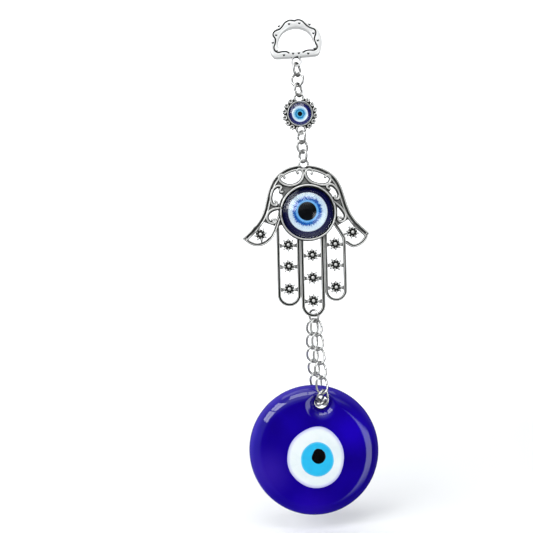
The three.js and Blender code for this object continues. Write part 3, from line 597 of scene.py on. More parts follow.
def clear_glass():
    """A clear cabochon: what is under it shows straight through, and its face reflects like polished glass."""
    m = Nodes("clear_glass")
    wave = m.noise(160, 2)
    normal = m.bump(wave, 0.02, 0.0002)
    gloss = m.node("BsdfGlossy")
    gloss.inputs["Color"].default_value = (1, 1, 1, 1)
    m.value(m.math("ADD", 0.01, m.math("MULTIPLY", m.smooth(m.noise(1800, 3), 0.6, 0.8), 0.03)), gloss.inputs["Roughness"])
    m.link(normal, gloss.inputs["Normal"])
    through = m.node("BsdfTransparent")
    m.value(m.mix(wave, (0.97, 0.985, 1.0), (0.93, 0.96, 0.99)), through.inputs["Color"])
    facing = m.node("LayerWeight")
    facing.inputs["Blend"].default_value = 0.5
    m.link(normal, facing.inputs["Normal"])
    schlick = m.math("MULTIPLY_ADD", m.math("POWER", facing.outputs["Facing"], 5.0), 0.957, 0.043)
    mixed = m.node("MixShader")
    m.link(schlick, mixed.inputs[0])
    m.link(through.outputs[0], mixed.inputs[1])
    m.link(gloss.outputs[0], mixed.inputs[2])
    return m.finish(mixed.outputs[0])


def glossy_glass(name, colour, rough=0.03, extra=None, ior=1.52, coat=0.0):
    m = Nodes(name)
    c = colour(m)
    surface = m.noise(220, 3, 0.5)
    pits = m.smooth(m.noise(2600, 2), 0.7, 0.8)
    r = m.math("ADD", rough, m.math("MULTIPLY", pits, 0.08))
    shader = m.principled(Base_Color=c, Roughness=r, IOR=ior, Normal=m.bump(m.math("ADD", surface, m.math("MULTIPLY", pits, -0.15)), 0.05, 0.0006))
    if extra:
        extra(m, shader)
    return m.finish(shader.outputs[0])


def cobalt(m):
    """Deep blue glass with slow swirls of brighter blue, and painted light: brighter patches where light comes through,
    a darker patch about the eye, and a lighter, more violet glow at the rim and at the thin lower edge.
    """
    r, cx, cz, x, z = polar(m)
    swirl = m.noise(38, 3, 0.5, distortion=0.8)
    seed = m.noise(120, 3, 0.55, distortion=0.4)

    def glow(px, pz, size):
        dx, dz = m.math("SUBTRACT", x, px), m.math("SUBTRACT", z, pz)
        d = m.math("SQRT", m.math("ADD", m.math("MULTIPLY", dx, dx), m.math("MULTIPLY", dz, dz)))
        return m.smooth(d, 0.0, size, 1.0, 0.0)

    deep = (0.0065, 0.0006, 0.205)
    c = m.mix(m.smooth(swirl, 0.3, 0.75), deep, (0.009, 0.001, 0.3))
    # painted light: brighter patches where light comes through the glass, and last a darker patch about the eye
    c = m.mix(m.math("MULTIPLY", glow(13.0, 10.5, 12.0), 0.85), c, (0.013, 0.001, 0.47))
    c = m.mix(m.math("MULTIPLY", glow(-9.0, 11.0, 9.0), 0.4), c, (0.009, 0.001, 0.36))
    c = m.mix(m.math("MULTIPLY", glow(-17.5, -10.0, 13.0), 0.75), c, (0.032, 0.012, 0.33))
    c = m.mix(m.math("MULTIPLY", glow(3.0, -23.5, 13.0), 0.6), c, (0.022, 0.004, 0.42))
    c = m.mix(m.math("MULTIPLY", glow(0.9, -3.4, 17.0), 0.45), c, (0.005, 0.0004, 0.14))
    # painted glow: lighter and more violet towards the rim
    rim = m.smooth(m.math("ADD", r, m.math("MULTIPLY", m.math("SUBTRACT", seed, 0.5), 1.2)), 23.6, 26.1)
    c = m.mix(m.math("MULTIPLY", rim, 0.3), c, (0.085, 0.055, 0.5))
    # painted glow along the thin lower edge
    thin = m.math("MULTIPLY", m.smooth(r, 25.0, 25.9), m.smooth(z, -20.0, -8.0, 1.0, 0.0))
    return m.mix(m.math("MULTIPLY", thin, 0.8), c, (0.5, 0.46, 0.86))


def layer_colour(inner, edge_tint, mottled):
    def made(m):
        e = m.attribute("rim")
        cloud = m.noise(170, 3, 0.55, distortion=0.5)
        c = m.mix(m.smooth(cloud, 0.35, 0.7), inner, mottled)
        return m.mix(m.smooth(e, 0.86, 1.0, 0.0, 0.85), c, edge_tint)
    return made


SILVER = antique_silver("antique_silver")
# a lighter, finer-grained copy of the antique silver for the hanger: painted light, for the light its face catches
SILVER_LIT = antique_silver("antique_silver_lit", bright=(0.97, 0.97, 0.96), rough=0.26, grain=0.3, metallic=0.3)
WIRE = bright_wire("bright_wire")
CHAIN_WIRE = bright_wire("bright_chain_wire", tint=(0.62, 0.62, 0.61), rough=0.12)
BIG_PRINT, SMALL_PRINT, CLEAR = big_eye_print(), small_eye_print(), clear_glass()


def scatter(m, shader):
    shader.inputs["Subsurface Weight"].default_value = 0.12
    shader.inputs["Subsurface Radius"].default_value = (0.4, 0.5, 1.0)
    shader.inputs["Subsurface Scale"].default_value = 0.002


COBALT = glossy_glass("cobalt_glass", cobalt, 0.025)
WHITE = glossy_glass("white_glass", layer_colour((0.83, 0.89, 0.91), (0.42, 0.4, 0.78), (0.76, 0.84, 0.87)), 0.05, scatter)
LIGHT_BLUE = glossy_glass("light_blue_glass", layer_colour((0.025, 0.5, 0.83), (0.16, 0.6, 0.85), (0.03, 0.44, 0.78)), 0.05)
BLACK = glossy_glass("black_glass", layer_colour((0.0022, 0.0024, 0.0028), (0.004, 0.02, 0.035), (0.0035, 0.0035, 0.004)), 0.03)


def place_piece(obj, body, slot, *nodes):
    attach(obj, body)
    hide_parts(*nodes)
    return obj


# ================================================================ hanger
def build_hanger():
    s = Solid((-11.7, -2.3, -16.6), (11.3, 2.3, 4.4), 0.1)
    a = np.radians(-22 + np.arange(241) / 240 * 224)
    outer = np.vstack([
        np.stack([-0.2 + 10.55 * np.cos(a), -6.35 + 9.98 * np.sin(a)], 1),
        [[-9.7, -10.6], [-9.35, -11.05], [-8.8, -11.45], [-8.0, -11.68], [-6.6, -11.75], [6.2, -11.75], [7.6, -11.68], [8.4, -11.45], [8.95, -11.05], [9.3, -10.6]],
    ])
    inner = smooth_line(
        [[0, 0], [-2.6, -0.45], [-4.9, -1.7], [-6.4, -3.7], [-7.0, -6.0], [-6.75, -7.9], [-5.6, -8.85], [-3, -8.95],
         [0, -8.95], [3, -8.95], [5.6, -8.85], [6.75, -7.9], [7.0, -6.0], [6.4, -3.7], [4.9, -1.7], [2.6, -0.45]], 160, True)
    so, si = s.inside(outer), s.inside(inner)
    body = np.maximum(so, -si)
    # a domed band: its thickness follows the distance from the edge
    depth = np.clip(-body, 0, 1.6)
    front = -1.22 - 0.5 * np.sqrt(np.clip(1 - (1 - depth / 1.35).clip(0, 1) ** 2, 0, 1))
    y = s.y.astype(np.float32)[None, :, None]
    slab = s.region_field(body, -1.73, 1.73, 0.35)
    dome = (front.astype(np.float32)[:, None, :] - y) * 0.9
    s.add(np.maximum(slab, dome))
    # the lug and its neck
    neck = [[-1.75, -11.0], [-2.0, -12.7], [-1.8, -13.6], [1.2, -13.6], [1.4, -12.7], [1.15, -11.0]]
    s.blend(s.region_field(s.inside(neck), -0.45, 0.45, 0.2), 0.35)
    lug = s.near(circle(-0.3, -13.3, 1.82, 64), reach=3.0)
    s.blend(s._profile(lug, 0.43, -0.45, 0.45, 0.38), 0.12)
    s.cut(s.region_field(np.hypot(s.X + 0.3, s.Z + 13.3) - 1.4, -3, 3, 0.01))
    # the engraved wave and its small beads
    left = smooth_line([[0.0, 2.2], [-1.8, 2.55], [-3.3, 2.05], [-4.1, 1.45], [-4.8, 0.5], [-6, -0.6], [-7.5, -1.1], [-8.6, -1.9], [-8.8, -3.0], [-8.05, -4.5],
                        [-8.2, -6], [-8.85, -8], [-8.3, -9.4], [-7, -9.9], [-6, -9.7], [-4, -9.75], [-3.1, -10.35]], 120)
    right = smooth_line([[0.0, 2.2], [1.5, 2.55], [3, 2.0], [4, 0.85], [4.8, 0.0], [6, -0.9], [7.8, -1.8], [8.2, -3], [7.65, -4.6], [7.4, -5.4], [7.75, -7], [8.35, -8.5], [8, -9.5],
                         [7, -9.95], [5, -9.75], [4, -9.85], [2.6, -10.45]], 120)
    wave = s.near(left, right, reach=1.6)
    level = s.near(outer, reach=2.0, closed=True)
    s.groove(wave, 0.33, -1.82)
    s.cut(s._profile(wave, 0.2, -2.2, -1.28, 0.12))
    beads = [(-6.3, 0.75), (5.9, 0.55), (-9.15, -5.7), (8.75, -6), (-5.1, -10.85), (4.6, -10.85), (-2.2, 1.35), (1.9, 1.35), (-7.65, -2.8), (7.2, -3), (-7.95, -9.05),
             (7.25, -9.1), (-1.4, -10.5), (0.9, -10.5)]
    pits = np.full(s.X.shape, 9.0)
    for bx, bz in beads:
        d = np.hypot(s.X - bx, s.Z - bz + 0.14)
        pits = np.minimum(pits, d)
        s.cut(s.region_field(d - 0.46, -2.2, -1.32, 0.1))
        s.ball(bx, bz + 0.1, -1.46, 0.34)
    notch = [[-1.1, -11.9], [0.5, -11.6], [0.55, -12.0], [-0.2, -12.35], [-1.15, -12.3]]
    s.cut(s.region_field(s.inside(notch), -2.2, -0.3, 0.08))
    p, quads, n, hollow, edge = s.mesh()
    front_side = np.clip(-n[:, 1] * 1.5, 0, 1)
    line = np.clip((0.34 - s.sample(wave, p)) / 0.1, 0, 1) * (p[:, 1] < -0.2)
    pit = np.clip((0.5 - s.sample(pits, p)) / 0.12, 0, 1) * (p[:, 1] < -0.2) * np.clip(hollow[0.3] * 4, 0, 1)
    # painted shade on the inner wall of the opening
    inner_wall_shade = np.clip((0.5 - np.abs(s.sample(si, p))) / 0.5, 0, 1) * (np.abs(n[:, 1]) < 0.5) * 0.3
    notch_dark = np.clip(-s.sample(s.inside(notch), p) * 8 + 0.5, 0, 1) * (n[:, 1] < 0.3) * (p[:, 1] < -0.1)
    patina_and_painted_shade = np.clip(hollow[0.3] * 0.75 + hollow[0.7] * 0.25 - edge * 0.3, 0, 1) * 0.8
    # painted shade on the side walls, which turn away from the front
    wall_shade = np.clip((1 - np.abs(n[:, 1])) / 0.75, 0, 1) ** 1.5 * 0.3
    hole = np.clip((1.62 - np.hypot(p[:, 0] + 0.3, p[:, 2] + 13.3)) / 0.2, 0, 1) * 0.8
    patina_and_painted_shade = np.maximum.reduce([patina_and_painted_shade, hole, line, pit * 0.95, inner_wall_shade, notch_dark, wall_shade])
    obj = mesh_object("hanger_cast", p, quads, SILVER_LIT, {"patina_and_painted_shade": patina_and_painted_shade})
    place_piece(obj, "hanger", "antique_silver", "hanger")


# ================================================================ small eye connector
def build_connector():
    s = Solid((-9.2, -1.8, -9.2), (9.2, 1.6, 9.2), 0.1)
    cup = [(0, 1.15), (4.85, 1.15), (5.1, 0.9), (5.1, -0.75), (5.02, -1.1), (4.86, -1.27), (4.74, -1.12), (4.72, -0.9), (4.72, 0.45), (0, 0.45)]
    s.add(s.lathe(0, 0, cup))
    s.add(s.lathe(0, 0, [(4.9, -0.15), (6.25, -0.15), (6.38, -0.05), (6.38, 0.65), (6.25, 0.72), (4.9, 0.72)]))
    holes = np.full(s.X.shape, 9.0)
    for i in range(16):
        a = math.radians(90 + (i + 0.5) * 22.5)
        cx, cz = 6.2 * math.cos(a), 6.2 * math.sin(a)
        start = math.degrees(a) + (50 if i % 2 else 35)
        arc = circle(cx, cz, 0.66, 20, start, start + 290)
        s.stroke(s.near(arc, reach=1.6), 0.3, -0.72, 0.7)
        s.ball(cx + 0.66 * math.cos(math.radians(start)), cz + 0.66 * math.sin(math.radians(start)), -0.42, 0.3)
        holes = np.minimum(holes, np.hypot(s.X - cx, s.Z - cz))
    for sign in (1, -1):
        s.blend(s._profile(s.near(circle(0, sign * 6.3, 1.72, 64), reach=3.0), 0.4, -0.45, 0.45, 0.38), 0.15)
        s.cut(s.region_field(np.hypot(s.X, s.Z - sign * 6.3) - 1.35, -3, 3, 0.01))
    s.cut(s.lathe(0, 0, [(0, -9), (4.72, -9), (4.72, 0.45), (0, 0.45)]))
    p, quads, n, hollow, edge = s.mesh()
    r = np.hypot(p[:, 0], p[:, 2])
    between = np.clip((6.6 - r) / 0.2, 0, 1) * np.clip((r - 5.05) / 0.1, 0, 1) * np.clip((p[:, 1] + 0.62) / 0.2, 0, 1) * (n[:, 1] < 0.4)
    loops = np.abs(s.sample(holes, p) - 0.66)
    # painted shade on the flanks of each small loop
    sides = np.clip((loops - 0.17) / 0.08, 0, 1) * (s.sample(holes, p) < 1.1) * (r > 5.3) * 0.8
    pit = np.clip((0.42 - s.sample(holes, p)) / 0.1, 0, 1)
    floor = np.clip((4.75 - r) / 0.1, 0, 1) * (p[:, 1] < 0.6) * (p[:, 1] > -0.9)
    patina_and_painted_shade = np.maximum.reduce([np.clip(hollow[0.3] + 0.4 * hollow[0.7] - edge * 0.25, 0, 1), between, sides, pit, floor * 0.6])
    obj = mesh_object("small_eye_cast", p, quads, SILVER, {"patina_and_painted_shade": patina_and_painted_shade}, place_at(AXIS_X, 0, CONN_Z))
    place_piece(obj, "small_eye", "antique_silver", "connector_casting")

    where = place_at(AXIS_X, 0, CONN_Z)
    v, f = turned([(0, 0.3), (4.4, 0.3), (4.5, 0.2), (4.5, 0.08), (4.42, 0.0), (3.0, 0.0), (1.5, 0.0), (0, 0.0)], 72)
    place_piece(mesh_object("small_eye_print", v, f, SMALL_PRINT, place=where), "small_eye", "printed_eye", "connector_eye_print")
    top = [(4.5 * math.sin(t), -0.85 - 1.95 * math.cos(t)) for t in np.linspace(0.0, math.pi / 2, 22)]
    v, f = turned([(0, -2.8), *top[1:], (4.5, -0.5), (4.42, -0.2), (4.3, -0.15), (0, -0.15)], 96)
    place_piece(mesh_object("small_eye_dome", v, f, CLEAR, place=where), "small_eye", "clear_glass", "connector_glass_dome")


# ================================================================ hand
SIDE_L = [[-1.5, 19.1], [-4.3, 19.05], [-6.2, 18.7], [-8.1, 18.0], [-10.0, 17.05], [-11.5, 16.0], [-12.75, 14.85], [-13.8, 13.5], [-14.65, 12.0], [-15.35, 10.3], [-15.95, 8.5],
          [-16.4, 6.7], [-16.8, 4.8], [-17.2, 2.9], [-17.75, 1.0], [-18.5, -0.8], [-19.55, -2.6], [-20.9, -4.3], [-22.5, -6.0], [-24.4, -7.8], [-26.3, -9.5]]
SIDE_R = [[-1.5, 19.1], [0.8, 19.1], [4.0, 18.5], [6.8, 17.45], [9.15, 16.1], [11.0, 14.5], [12.45, 12.65], [13.45, 10.6], [14.15, 8.6], [14.8, 6.4], [15.45, 4.0],
          [16.2, 1.6], [17.2, -0.8], [18.6, -3.1], [20.4, -5.1], [22.2, -6.7], [24.1, -8.5]]
UNDER_L = [[-26.3, -9.8], [-25, -10.9], [-23.5, -12.0], [-21.5, -12.8], [-19.5, -12.9], [-17.5, -12.3], [-15.5, -11], [-14, -9.3],
           [-13, -7.5], [-12.2, -5.5], [-11.4, -3.3], [-10.6, -1.5]]
UNDER_R = [[24.1, -9.2], [23.3, -11], [21.8, -12.7], [20, -13.8], [18, -14.3], [16.3, -13.6], [14.9, -12.6]]
STRAP_R = [[10.2, -3.6], [11.6, -6.0], [13.1, -8.4], [14.1, -10.4], [14.4, -12.6]]
SCROLLS = [
    [[-3.6, 15.9], [-4.0, 16.9], [-3.1, 17.6], [-1.9, 17.0], [-1.45, 15.4], [-2.2, 13.2], [-4, 11.6], [-7, 10.9], [-9.9, 11.9], [-11.3, 13.7], [-10.8, 15.3], [-9.4, 15.2], [-9.0, 14.2]],
    [[1.9, 15.6], [2.2, 16.7], [1.2, 17.5], [-0.1, 17.0], [-0.65, 15.7], [-0.2, 14.1], [1.5, 12.2], [5, 11.0], [7.9, 11.1], [9.3, 12.5], [9.2, 14.3], [8.1, 14.9], [7.3, 14.1]],
    [[-9.8, 8.6], [-10.5, 8.4], [-10.9, 9.3], [-10.3, 10.5], [-11.7, 11.0], [-13.6, 9.9], [-14.5, 7.7], [-14.75, 5.5], [-14.0, 3.6], [-12.6, 3.2], [-12.2, 4.2], [-12.9, 4.9]],
    [[8.9, 9.2], [8.0, 9.7], [8.2, 10.8], [9.7, 11.1], [11.3, 10.0], [12.3, 8.5], [12.8, 6.7], [12.1, 5.2], [10.9, 5.4], [11.0, 6.5]],
    [[-10.9, 2.0], [-13.6, 1.8], [-15.7, 0.6], [-16.5, -1.4], [-15.7, -3.3], [-14.0, -4.0], [-12.8, -3.1], [-13.4, -2.2], [-14.3, -2.5]],
    [[10.6, 4.1], [12.5, 2.6], [14.2, 0.7], [15.1, -1.4], [14.5, -3.4], [12.9, -3.9], [11.9, -2.9], [12.5, -2.0], [13.4, -2.4]],
]
OPENINGS = [
    [[-1.8, 15.0], [-2.5, 13.4], [-4.2, 12.0], [-7.0, 11.35], [-9.5, 12.2], [-10.9, 13.7], [-10.4, 15.4], [-8.2, 16.35], [-5.6, 17.05], [-3.6, 17.25], [-2.2, 17.3], [-1.7, 16.4]],
    [[-0.2, 15.4], [0.2, 14.2], [1.8, 12.6], [5.0, 11.45], [7.7, 11.6], [8.9, 12.7], [8.9, 14.6], [7.2, 15.9], [5.0, 16.75], [2.4, 17.3], [0.8, 17.35], [-0.2, 16.8]],
    [[-11.5, 10.5], [-13.3, 9.5], [-14.1, 7.6], [-14.3, 5.7], [-13.7, 4.0], [-12.4, 3.6], [-11.3, 3.5], [-10.5, 5.2], [-9.6, 6.8], [-10.0, 7.9], [-10.9, 8.2], [-11.1, 9.4]],
    [[9.6, 10.6], [10.9, 9.7], [11.8, 8.4], [12.3, 6.7], [11.8, 5.6], [10.9, 5.5], [10.1, 5.8], [9.1, 7.4], [8.4, 8.4], [9.0, 9.0], [8.7, 10.2]],
    [[-11.5, 1.5], [-13.5, 1.3], [-15.2, 0.2], [-16.0, -1.4], [-15.3, -2.9], [-14.2, -3.5], [-12.7, -3.2], [-12.0, -1.8], [-11.6, -0.2]],
    [[11.2, 3.2], [12.2, 2.2], [13.7, 0.4], [14.6, -1.4], [14.1, -3.0], [13.0, -3.5], [12.0, -3.2], [11.6, -2.2], [11.5, -0.8], [11.5, 1.4]],
]
FLOWERS = [(-8.1, -12.7), (-8.1, -21.2), (-8.1, -30.3), (1.4, -16.9), (1.4, -26.0), (1.4, -35.2), (10.6, -12.7), (10.6, -21.0), (10.6, -30.0)]
WING_FLOWERS = [(-19.1, -8.2), (17.7, -8.2)]


def finger_line(xa, xb, bottom, top_a, top_b, inset=0.0):
    xa, xb, bottom = xa + inset, xb - inset, bottom + inset
    radius = (xb - xa) / 2
    a = np.linspace(math.pi, 2 * math.pi, 33)
    arc = np.stack([(xa + xb) / 2 + radius * np.cos(a), bottom + radius + radius * np.sin(a)], 1)
    return np.vstack([[[xa, top_a]], arc, [[xb, top_b]]])


def build_hand():
    h = 0.14
    s = Solid((-28.0, -3.0, -43.0), (26.0, 1.5, 23.0), h)
    side_l, side_r = soften(smooth_line(SIDE_L, 90)), soften(smooth_line(SIDE_R, 90))
    under_l, under_r = smooth_line(UNDER_L, 60), smooth_line(UNDER_R, 36)
    strap = smooth_line(STRAP_R, 20)

    # the broad band of the outline: a recessed web between an outer and an inner ridge
    mid = s.near(offset_line(side_l, 0.98), offset_line(side_r, -0.98))
    s.band(mid, 0.9, -0.35, 1.0, 0.15)
    ridge_out = s.near(offset_line(side_l, 0.34), offset_line(side_r, -0.34))
    ridge_in = s.near(offset_line(side_l, 1.72), offset_line(side_r, -1.72))
    s.stroke(ridge_out, 0.34, -1.0, 1.05)
    s.stroke(ridge_in, 0.33, -0.9, 1.0)
    under_mid = s.near(offset_line(under_l, 0.62), offset_line(under_r, -0.62))
    s.band(under_mid, 0.55, -0.45, 1.0, 0.15)
    under_out = s.near(offset_line(under_l, 0.26), offset_line(under_r, -0.26))
    under_in = s.near(offset_line(under_l, 1.06), offset_line(under_r, -1.06))
    s.stroke(under_out, 0.27, -1.0, 1.05)
    s.stroke(under_in, 0.22, -0.85, 1.0)
    strap_d = s.near(strap)
    s.band(strap_d, 0.6, -0.5, 1.0, 0.15)
    s.stroke(s.near(offset_line(strap, 0.42), offset_line(strap, -0.42)), 0.22, -0.9, 1.0)

    # fingers
    f = [(-12.15, -4.05, -36.6, -5.4, -9.6), (-2.65, 5.5, -41.1, -10.0, -9.0), (6.85, 14.35, -35.0, -8.0, -10.4)]
    widths = [0.66, 0.66, 0.56]
    rails = np.full(s.X.shape, 9.0)
    for spec, w in zip(f, widths):
        centre = s.near(finger_line(*spec))
        rails = np.minimum(rails, centre / w)
        s.band(centre, w, -0.62, 1.03, 0.16)
        for inset, rr, top in ((-w + 0.2, 0.2, -0.98), (w - 0.2, 0.2, -0.92)):
            s.stroke(s.near(finger_line(*spec, inset=inset)), rr, top, 1.0)

    # scroll wires with a small curl at each end
    wires = [smooth_line(line, 60) for line in SCROLLS]
    wire_d = s.near(*wires)
    s.stroke(wire_d, 0.47, -0.98, 0.86)
    for line in SCROLLS:
        for end in (line[0], line[-1]):
            s.ball(end[0], end[1], -0.42, 0.52)
            s.stroke(s.near(np.array([end, end]) + [[0, 0], [0.01, 0]], reach=1.4), 0.42, -0.5, 0.8)
    # the thin plate between the scrolls, with an opening inside each of them
    inner_l, inner_r = offset_line(side_l, 1.72), offset_line(side_r, -1.72)
    rim = np.vstack([inner_l[inner_l[:, 1] > -3.2], [[-12.6, -5.2], [-10.0, -4.5], [10.0, -4.5], [12.1, -5.2]], inner_r[inner_r[:, 1] > -3.2][::-1]])
    fill = s.inside(rim, reach=1.6)
    for poly in OPENINGS:
        fill = np.maximum(fill, -0.34 - s.inside(smooth_line(poly, 48, True), reach=1.6))
    s.region(fill, -0.28, 0.7, 0.1)

    # flowers
    stars, petals = np.full(s.X.shape, 9.0), []
    leaf = []
    for k, (cx, cz) in enumerate(FLOWERS + WING_FLOWERS):
        turn = math.radians((0, 9, -7, 4, 12, -5, 6, -9, 3, 14, -12)[k])
        rr, aa = np.hypot(s.X - cx, s.Z - cz), np.arctan2(s.Z - cz, s.X - cx) - turn
        stars = np.minimum(stars, rr)
        for i in range(8):
            a = turn + i * math.pi / 4
            tip = 2.42 if i % 2 else 2.28
            mid_p = (cx + 1.42 * math.cos(a), cz + 1.42 * math.sin(a))
            end_p = (cx + tip * math.cos(a), cz + tip * math.sin(a))
            petals.append([mid_p, end_p])
        if k < 9:
            for side in (-1, 1):
                leaf.append([(cx + side * 2.1, cz - 0.35), (cx + side * 2.9, cz + 0.1), (cx + side * 3.55, cz + 0.35)])
                leaf.append([(cx + side * 2.1, cz - 0.45), (cx + side * 2.9, cz - 0.7), (cx + side * 3.6, cz - 0.55)])
    s.region(stars - 1.95, 0.0, 0.78, 0.12)
    s.stroke(s.near(*petals, reach=1.6), 0.33, -0.72, 0.78)
    s.stroke(s.near(*leaf, reach=1.6), 0.34, -0.5, 0.72)
    for cx, cz in FLOWERS + WING_FLOWERS:
        s.ball(cx, cz, -0.52, 0.76)
    stems = [[(-20.2, -6.9), (-21.5, -5.6)], [(-18.9, -10.3), (-18.6, -12.0)], [(18.9, -7.2), (20.3, -6.2)], [(15.6, -8.6), (13.6, -9.2)]]
    s.stroke(s.near(*stems), 0.36, -0.5, 0.75)

    # the eye's cup and bezel, and the lug
    cup = [(0, 1.05), (11.1, 1.05), (11.3, 0.85), (11.3, -1.75), (11.24, -2.1), (11.06, -2.4), (10.8, -2.49), (10.58, -2.42), (10.47, -2.2), (10.45, -1.9), (10.45, 0.25), (0, 0.25)]
    cup_field = s.lathe(0, 0, cup)
    s.add(cup_field)
    s.stroke(s.near(circle(0, 0, 11.2, 128)), 0.2, -1.0, 0.9)
    lug = s.near(circle(-1.2, 19.5, 1.75, 64), reach=3.2)
    s.blend(s._profile(lug, 0.4, -0.45, 0.45, 0.38), 0.2)
    s.cut(s.region_field(np.hypot(s.X + 1.2, s.Z - 19.5) - 1.35, -3, 3, 0.01))
    s.cut(s.lathe_field(0, 0, [(0, -9), (10.45, -9), (10.45, 0.25), (0, 0.25)]))
    # both tips run out to a point
    outline = np.vstack([side_l, under_l, [[0, -4]]])
    s.cut(s.region_field(np.maximum(0.02 - s.inside(outline), s.X + 21.5), -3, 3, 0.01))
    outline = np.vstack([side_r, under_r, [[0, -4]]])
    s.cut(s.region_field(np.maximum(0.02 - s.inside(outline), 20.5 - s.X), -3, 3, 0.01))

    p, quads, n, hollow, edge = s.mesh()
    front = (n[:, 1] < 0.2).astype(float)

    def at(flat):
        return s.sample(flat, p)

    web = np.clip((0.86 - at(mid)) / 0.2, 0, 1) * (p[:, 1] > -0.62) * (p[:, 1] < 0.2)
    web = np.maximum(web, np.clip((0.5 - at(under_mid)) / 0.2, 0, 1) * (p[:, 1] > -0.66) * (p[:, 1] < 0.2))
    web = np.maximum(web, np.clip((0.34 - at(strap_d)) / 0.15, 0, 1) * (p[:, 1] > -0.7) * (p[:, 1] < 0.2))
    rail_dark = np.clip((0.8 - at(rails)) / 0.25, 0, 1) * (p[:, 1] < 0.2) * (p[:, 1] > -0.86)
    # painted shade on the sides of the finger rails
    rail_side_shade = np.clip((np.abs(n[:, 1]) < 0.55).astype(float) * np.clip((1.25 - at(rails)) / 0.2, 0, 1), 0, 1) * 0.85
    star = np.clip((1.98 - at(stars)) / 0.25, 0, 1) * np.clip((p[:, 1] + 0.62) / 0.18, 0, 1) * (p[:, 1] < 0.3)
    around = np.clip((at(stars) - 0.78) / 0.1, 0, 1) * np.clip((1.62 - at(stars)) / 0.25, 0, 1) * (p[:, 1] < 0.3) * 0.62
    twig = np.clip((at(stars) - 2.3) / 0.1, 0, 1) * np.clip((3.9 - at(stars)) / 0.2, 0, 1) * (at(rails) > 1.1) * 0.5
    star = np.maximum.reduce([star, around, twig])
    plate = np.clip((0.25 - at(fill)) / 0.2, 0, 1) * (p[:, 1] > -0.5) * (p[:, 1] < 0.2) * 0.5
    inside_cup = np.clip((10.5 - np.hypot(p[:, 0], p[:, 2])) / 0.1, 0, 1) * (p[:, 1] < 0.3) * 0.7
    patina_and_painted_shade = np.clip(hollow[0.3] * 0.95 + hollow[0.7] * 0.45 - edge * 0.35, 0, 1)
    # painted shade on the side walls
    wall_shade = np.clip((1 - np.abs(n[:, 1])) / 0.7, 0, 1) ** 1.3 * 0.72
    low_face = (p[:, 1] > -0.62) * (p[:, 1] < 0.2)
    # painted shade on the face along the foot of the scroll wires, the ridges and the bezel
    foot = np.clip((0.78 - at(wire_d)) / 0.2, 0, 1) * (p[:, 1] > -0.5) * (p[:, 1] < 0.2)
    for ridge, reach in ((ridge_out, 0.5), (ridge_in, 0.46), (under_out, 0.42), (under_in, 0.38)):
        foot = np.maximum(foot, np.clip((reach + 0.14 - at(ridge)) / 0.16, 0, 1) * low_face)
    foot = np.maximum(foot, np.clip((11.8 - np.hypot(p[:, 0], p[:, 2])) / 0.25, 0, 1) * low_face)
    # painted shade on the flanks of wires and ridges, outside their tops
    flank_shade = np.zeros(len(p))
    for field, size in ((wire_d, 0.47), (ridge_out, 0.34), (ridge_in, 0.33), (under_out, 0.27), (under_in, 0.22)):
        d = at(field)
        flank_shade = np.maximum(flank_shade, np.clip((d - 0.58 * size) / (0.26 * size), 0, 1) * (d < size + 0.08))
    on_top = (at(wire_d) < 0.26) | (at(ridge_out) < 0.19) | (at(ridge_in) < 0.18)
    flank_shade = flank_shade * ~on_top * (p[:, 1] < 0.3)
    # dark oxide in hollows, grooves, flowers and plates, joined with the painted shade of walls, flanks and feet
    patina_and_painted_shade = np.maximum.reduce([patina_and_painted_shade, flank_shade * 0.8, foot * 0.9, web * 0.6 * front, rail_dark * 0.95, rail_side_shade, star, plate, inside_cup, wall_shade])
    where = place_at(EYE_X, 0, EYE_Z, turn_y=LEAN)
    obj = mesh_object("hand_cast", p, quads, SILVER, {"patina_and_painted_shade": patina_and_painted_shade}, where)
    place_piece(obj, "hand", "antique_silver", "hand_casting")

    v, faces = turned([(0, 0.1), (10.05, 0.1), (10.15, 0.0), (10.15, -0.1), (10.05, -0.2), (7.0, -0.2), (3.5, -0.2), (0, -0.2)], 96)
    place_piece(mesh_object("hand_eye_face", v, faces, BIG_PRINT, place=where), "hand", "printed_eye", "hand_eye_print")
    top = [(r, -5.24 + 14.0 - math.sqrt(14.0 ** 2 - r * r)) for r in np.linspace(0.0, 9.95, 44)]
    v, faces = turned([*top, (10.09, -0.93), (10.15, -0.82), (10.1, -0.5), (9.9, -0.36), (0, -0.36)], 160)
    place_piece(mesh_object("hand_eye_dome", v, faces, CLEAR, place=where), "hand", "clear_glass", "hand_glass_dome")


# ================================================================ rings and chain
def wire_attributes(count, sides, length, seam, extra=0, out=None):
    """Attributes along and round a wire, with grime beside its seam and painted shade on its sides, darkest where they
    face down and to the right.
    'out' is the direction each point faces when the ornament hangs at rest."""
    i, j = np.meshgrid(np.arange(count), np.arange(sides), indexing="ij")
    along = i / count * length
    seam_dirt_and_painted_shade = np.clip(1 - np.minimum(i, count - 1 - i) / 1.2, 0, 1) * seam
    pad = np.zeros(extra)
    if out is not None:
        # painted shade on the wire's sides, darkest where they face down and to the right
        side = np.clip((1 - np.abs(out[:, 1])) / 0.7, 0, 1) ** 1.3
        low = np.clip(0.62 + 0.4 * (out[:, 0] * 0.6 - out[:, 2] * 0.8), 0, 1)
        seam_dirt_and_painted_shade = np.maximum(seam_dirt_and_painted_shade, (side * low).reshape(seam_dirt_and_painted_shade.shape) * 0.95)
    return {"along": np.r_[along.ravel(), pad], "around": np.r_[j.ravel() / sides, pad], "patina_and_painted_shade": np.r_[seam_dirt_and_painted_shade.ravel(), pad + seam]}


def facing_out(verts, centres, sides, where):
    """The direction each point of a swept wire faces, in the frame of the whole ornament."""
    d = verts[: len(centres) * sides] - np.repeat(centres, sides, axis=0)
    d = d @ np.array(where.to_3x3()).T
    return d / np.linalg.norm(d, axis=1)[:, None]


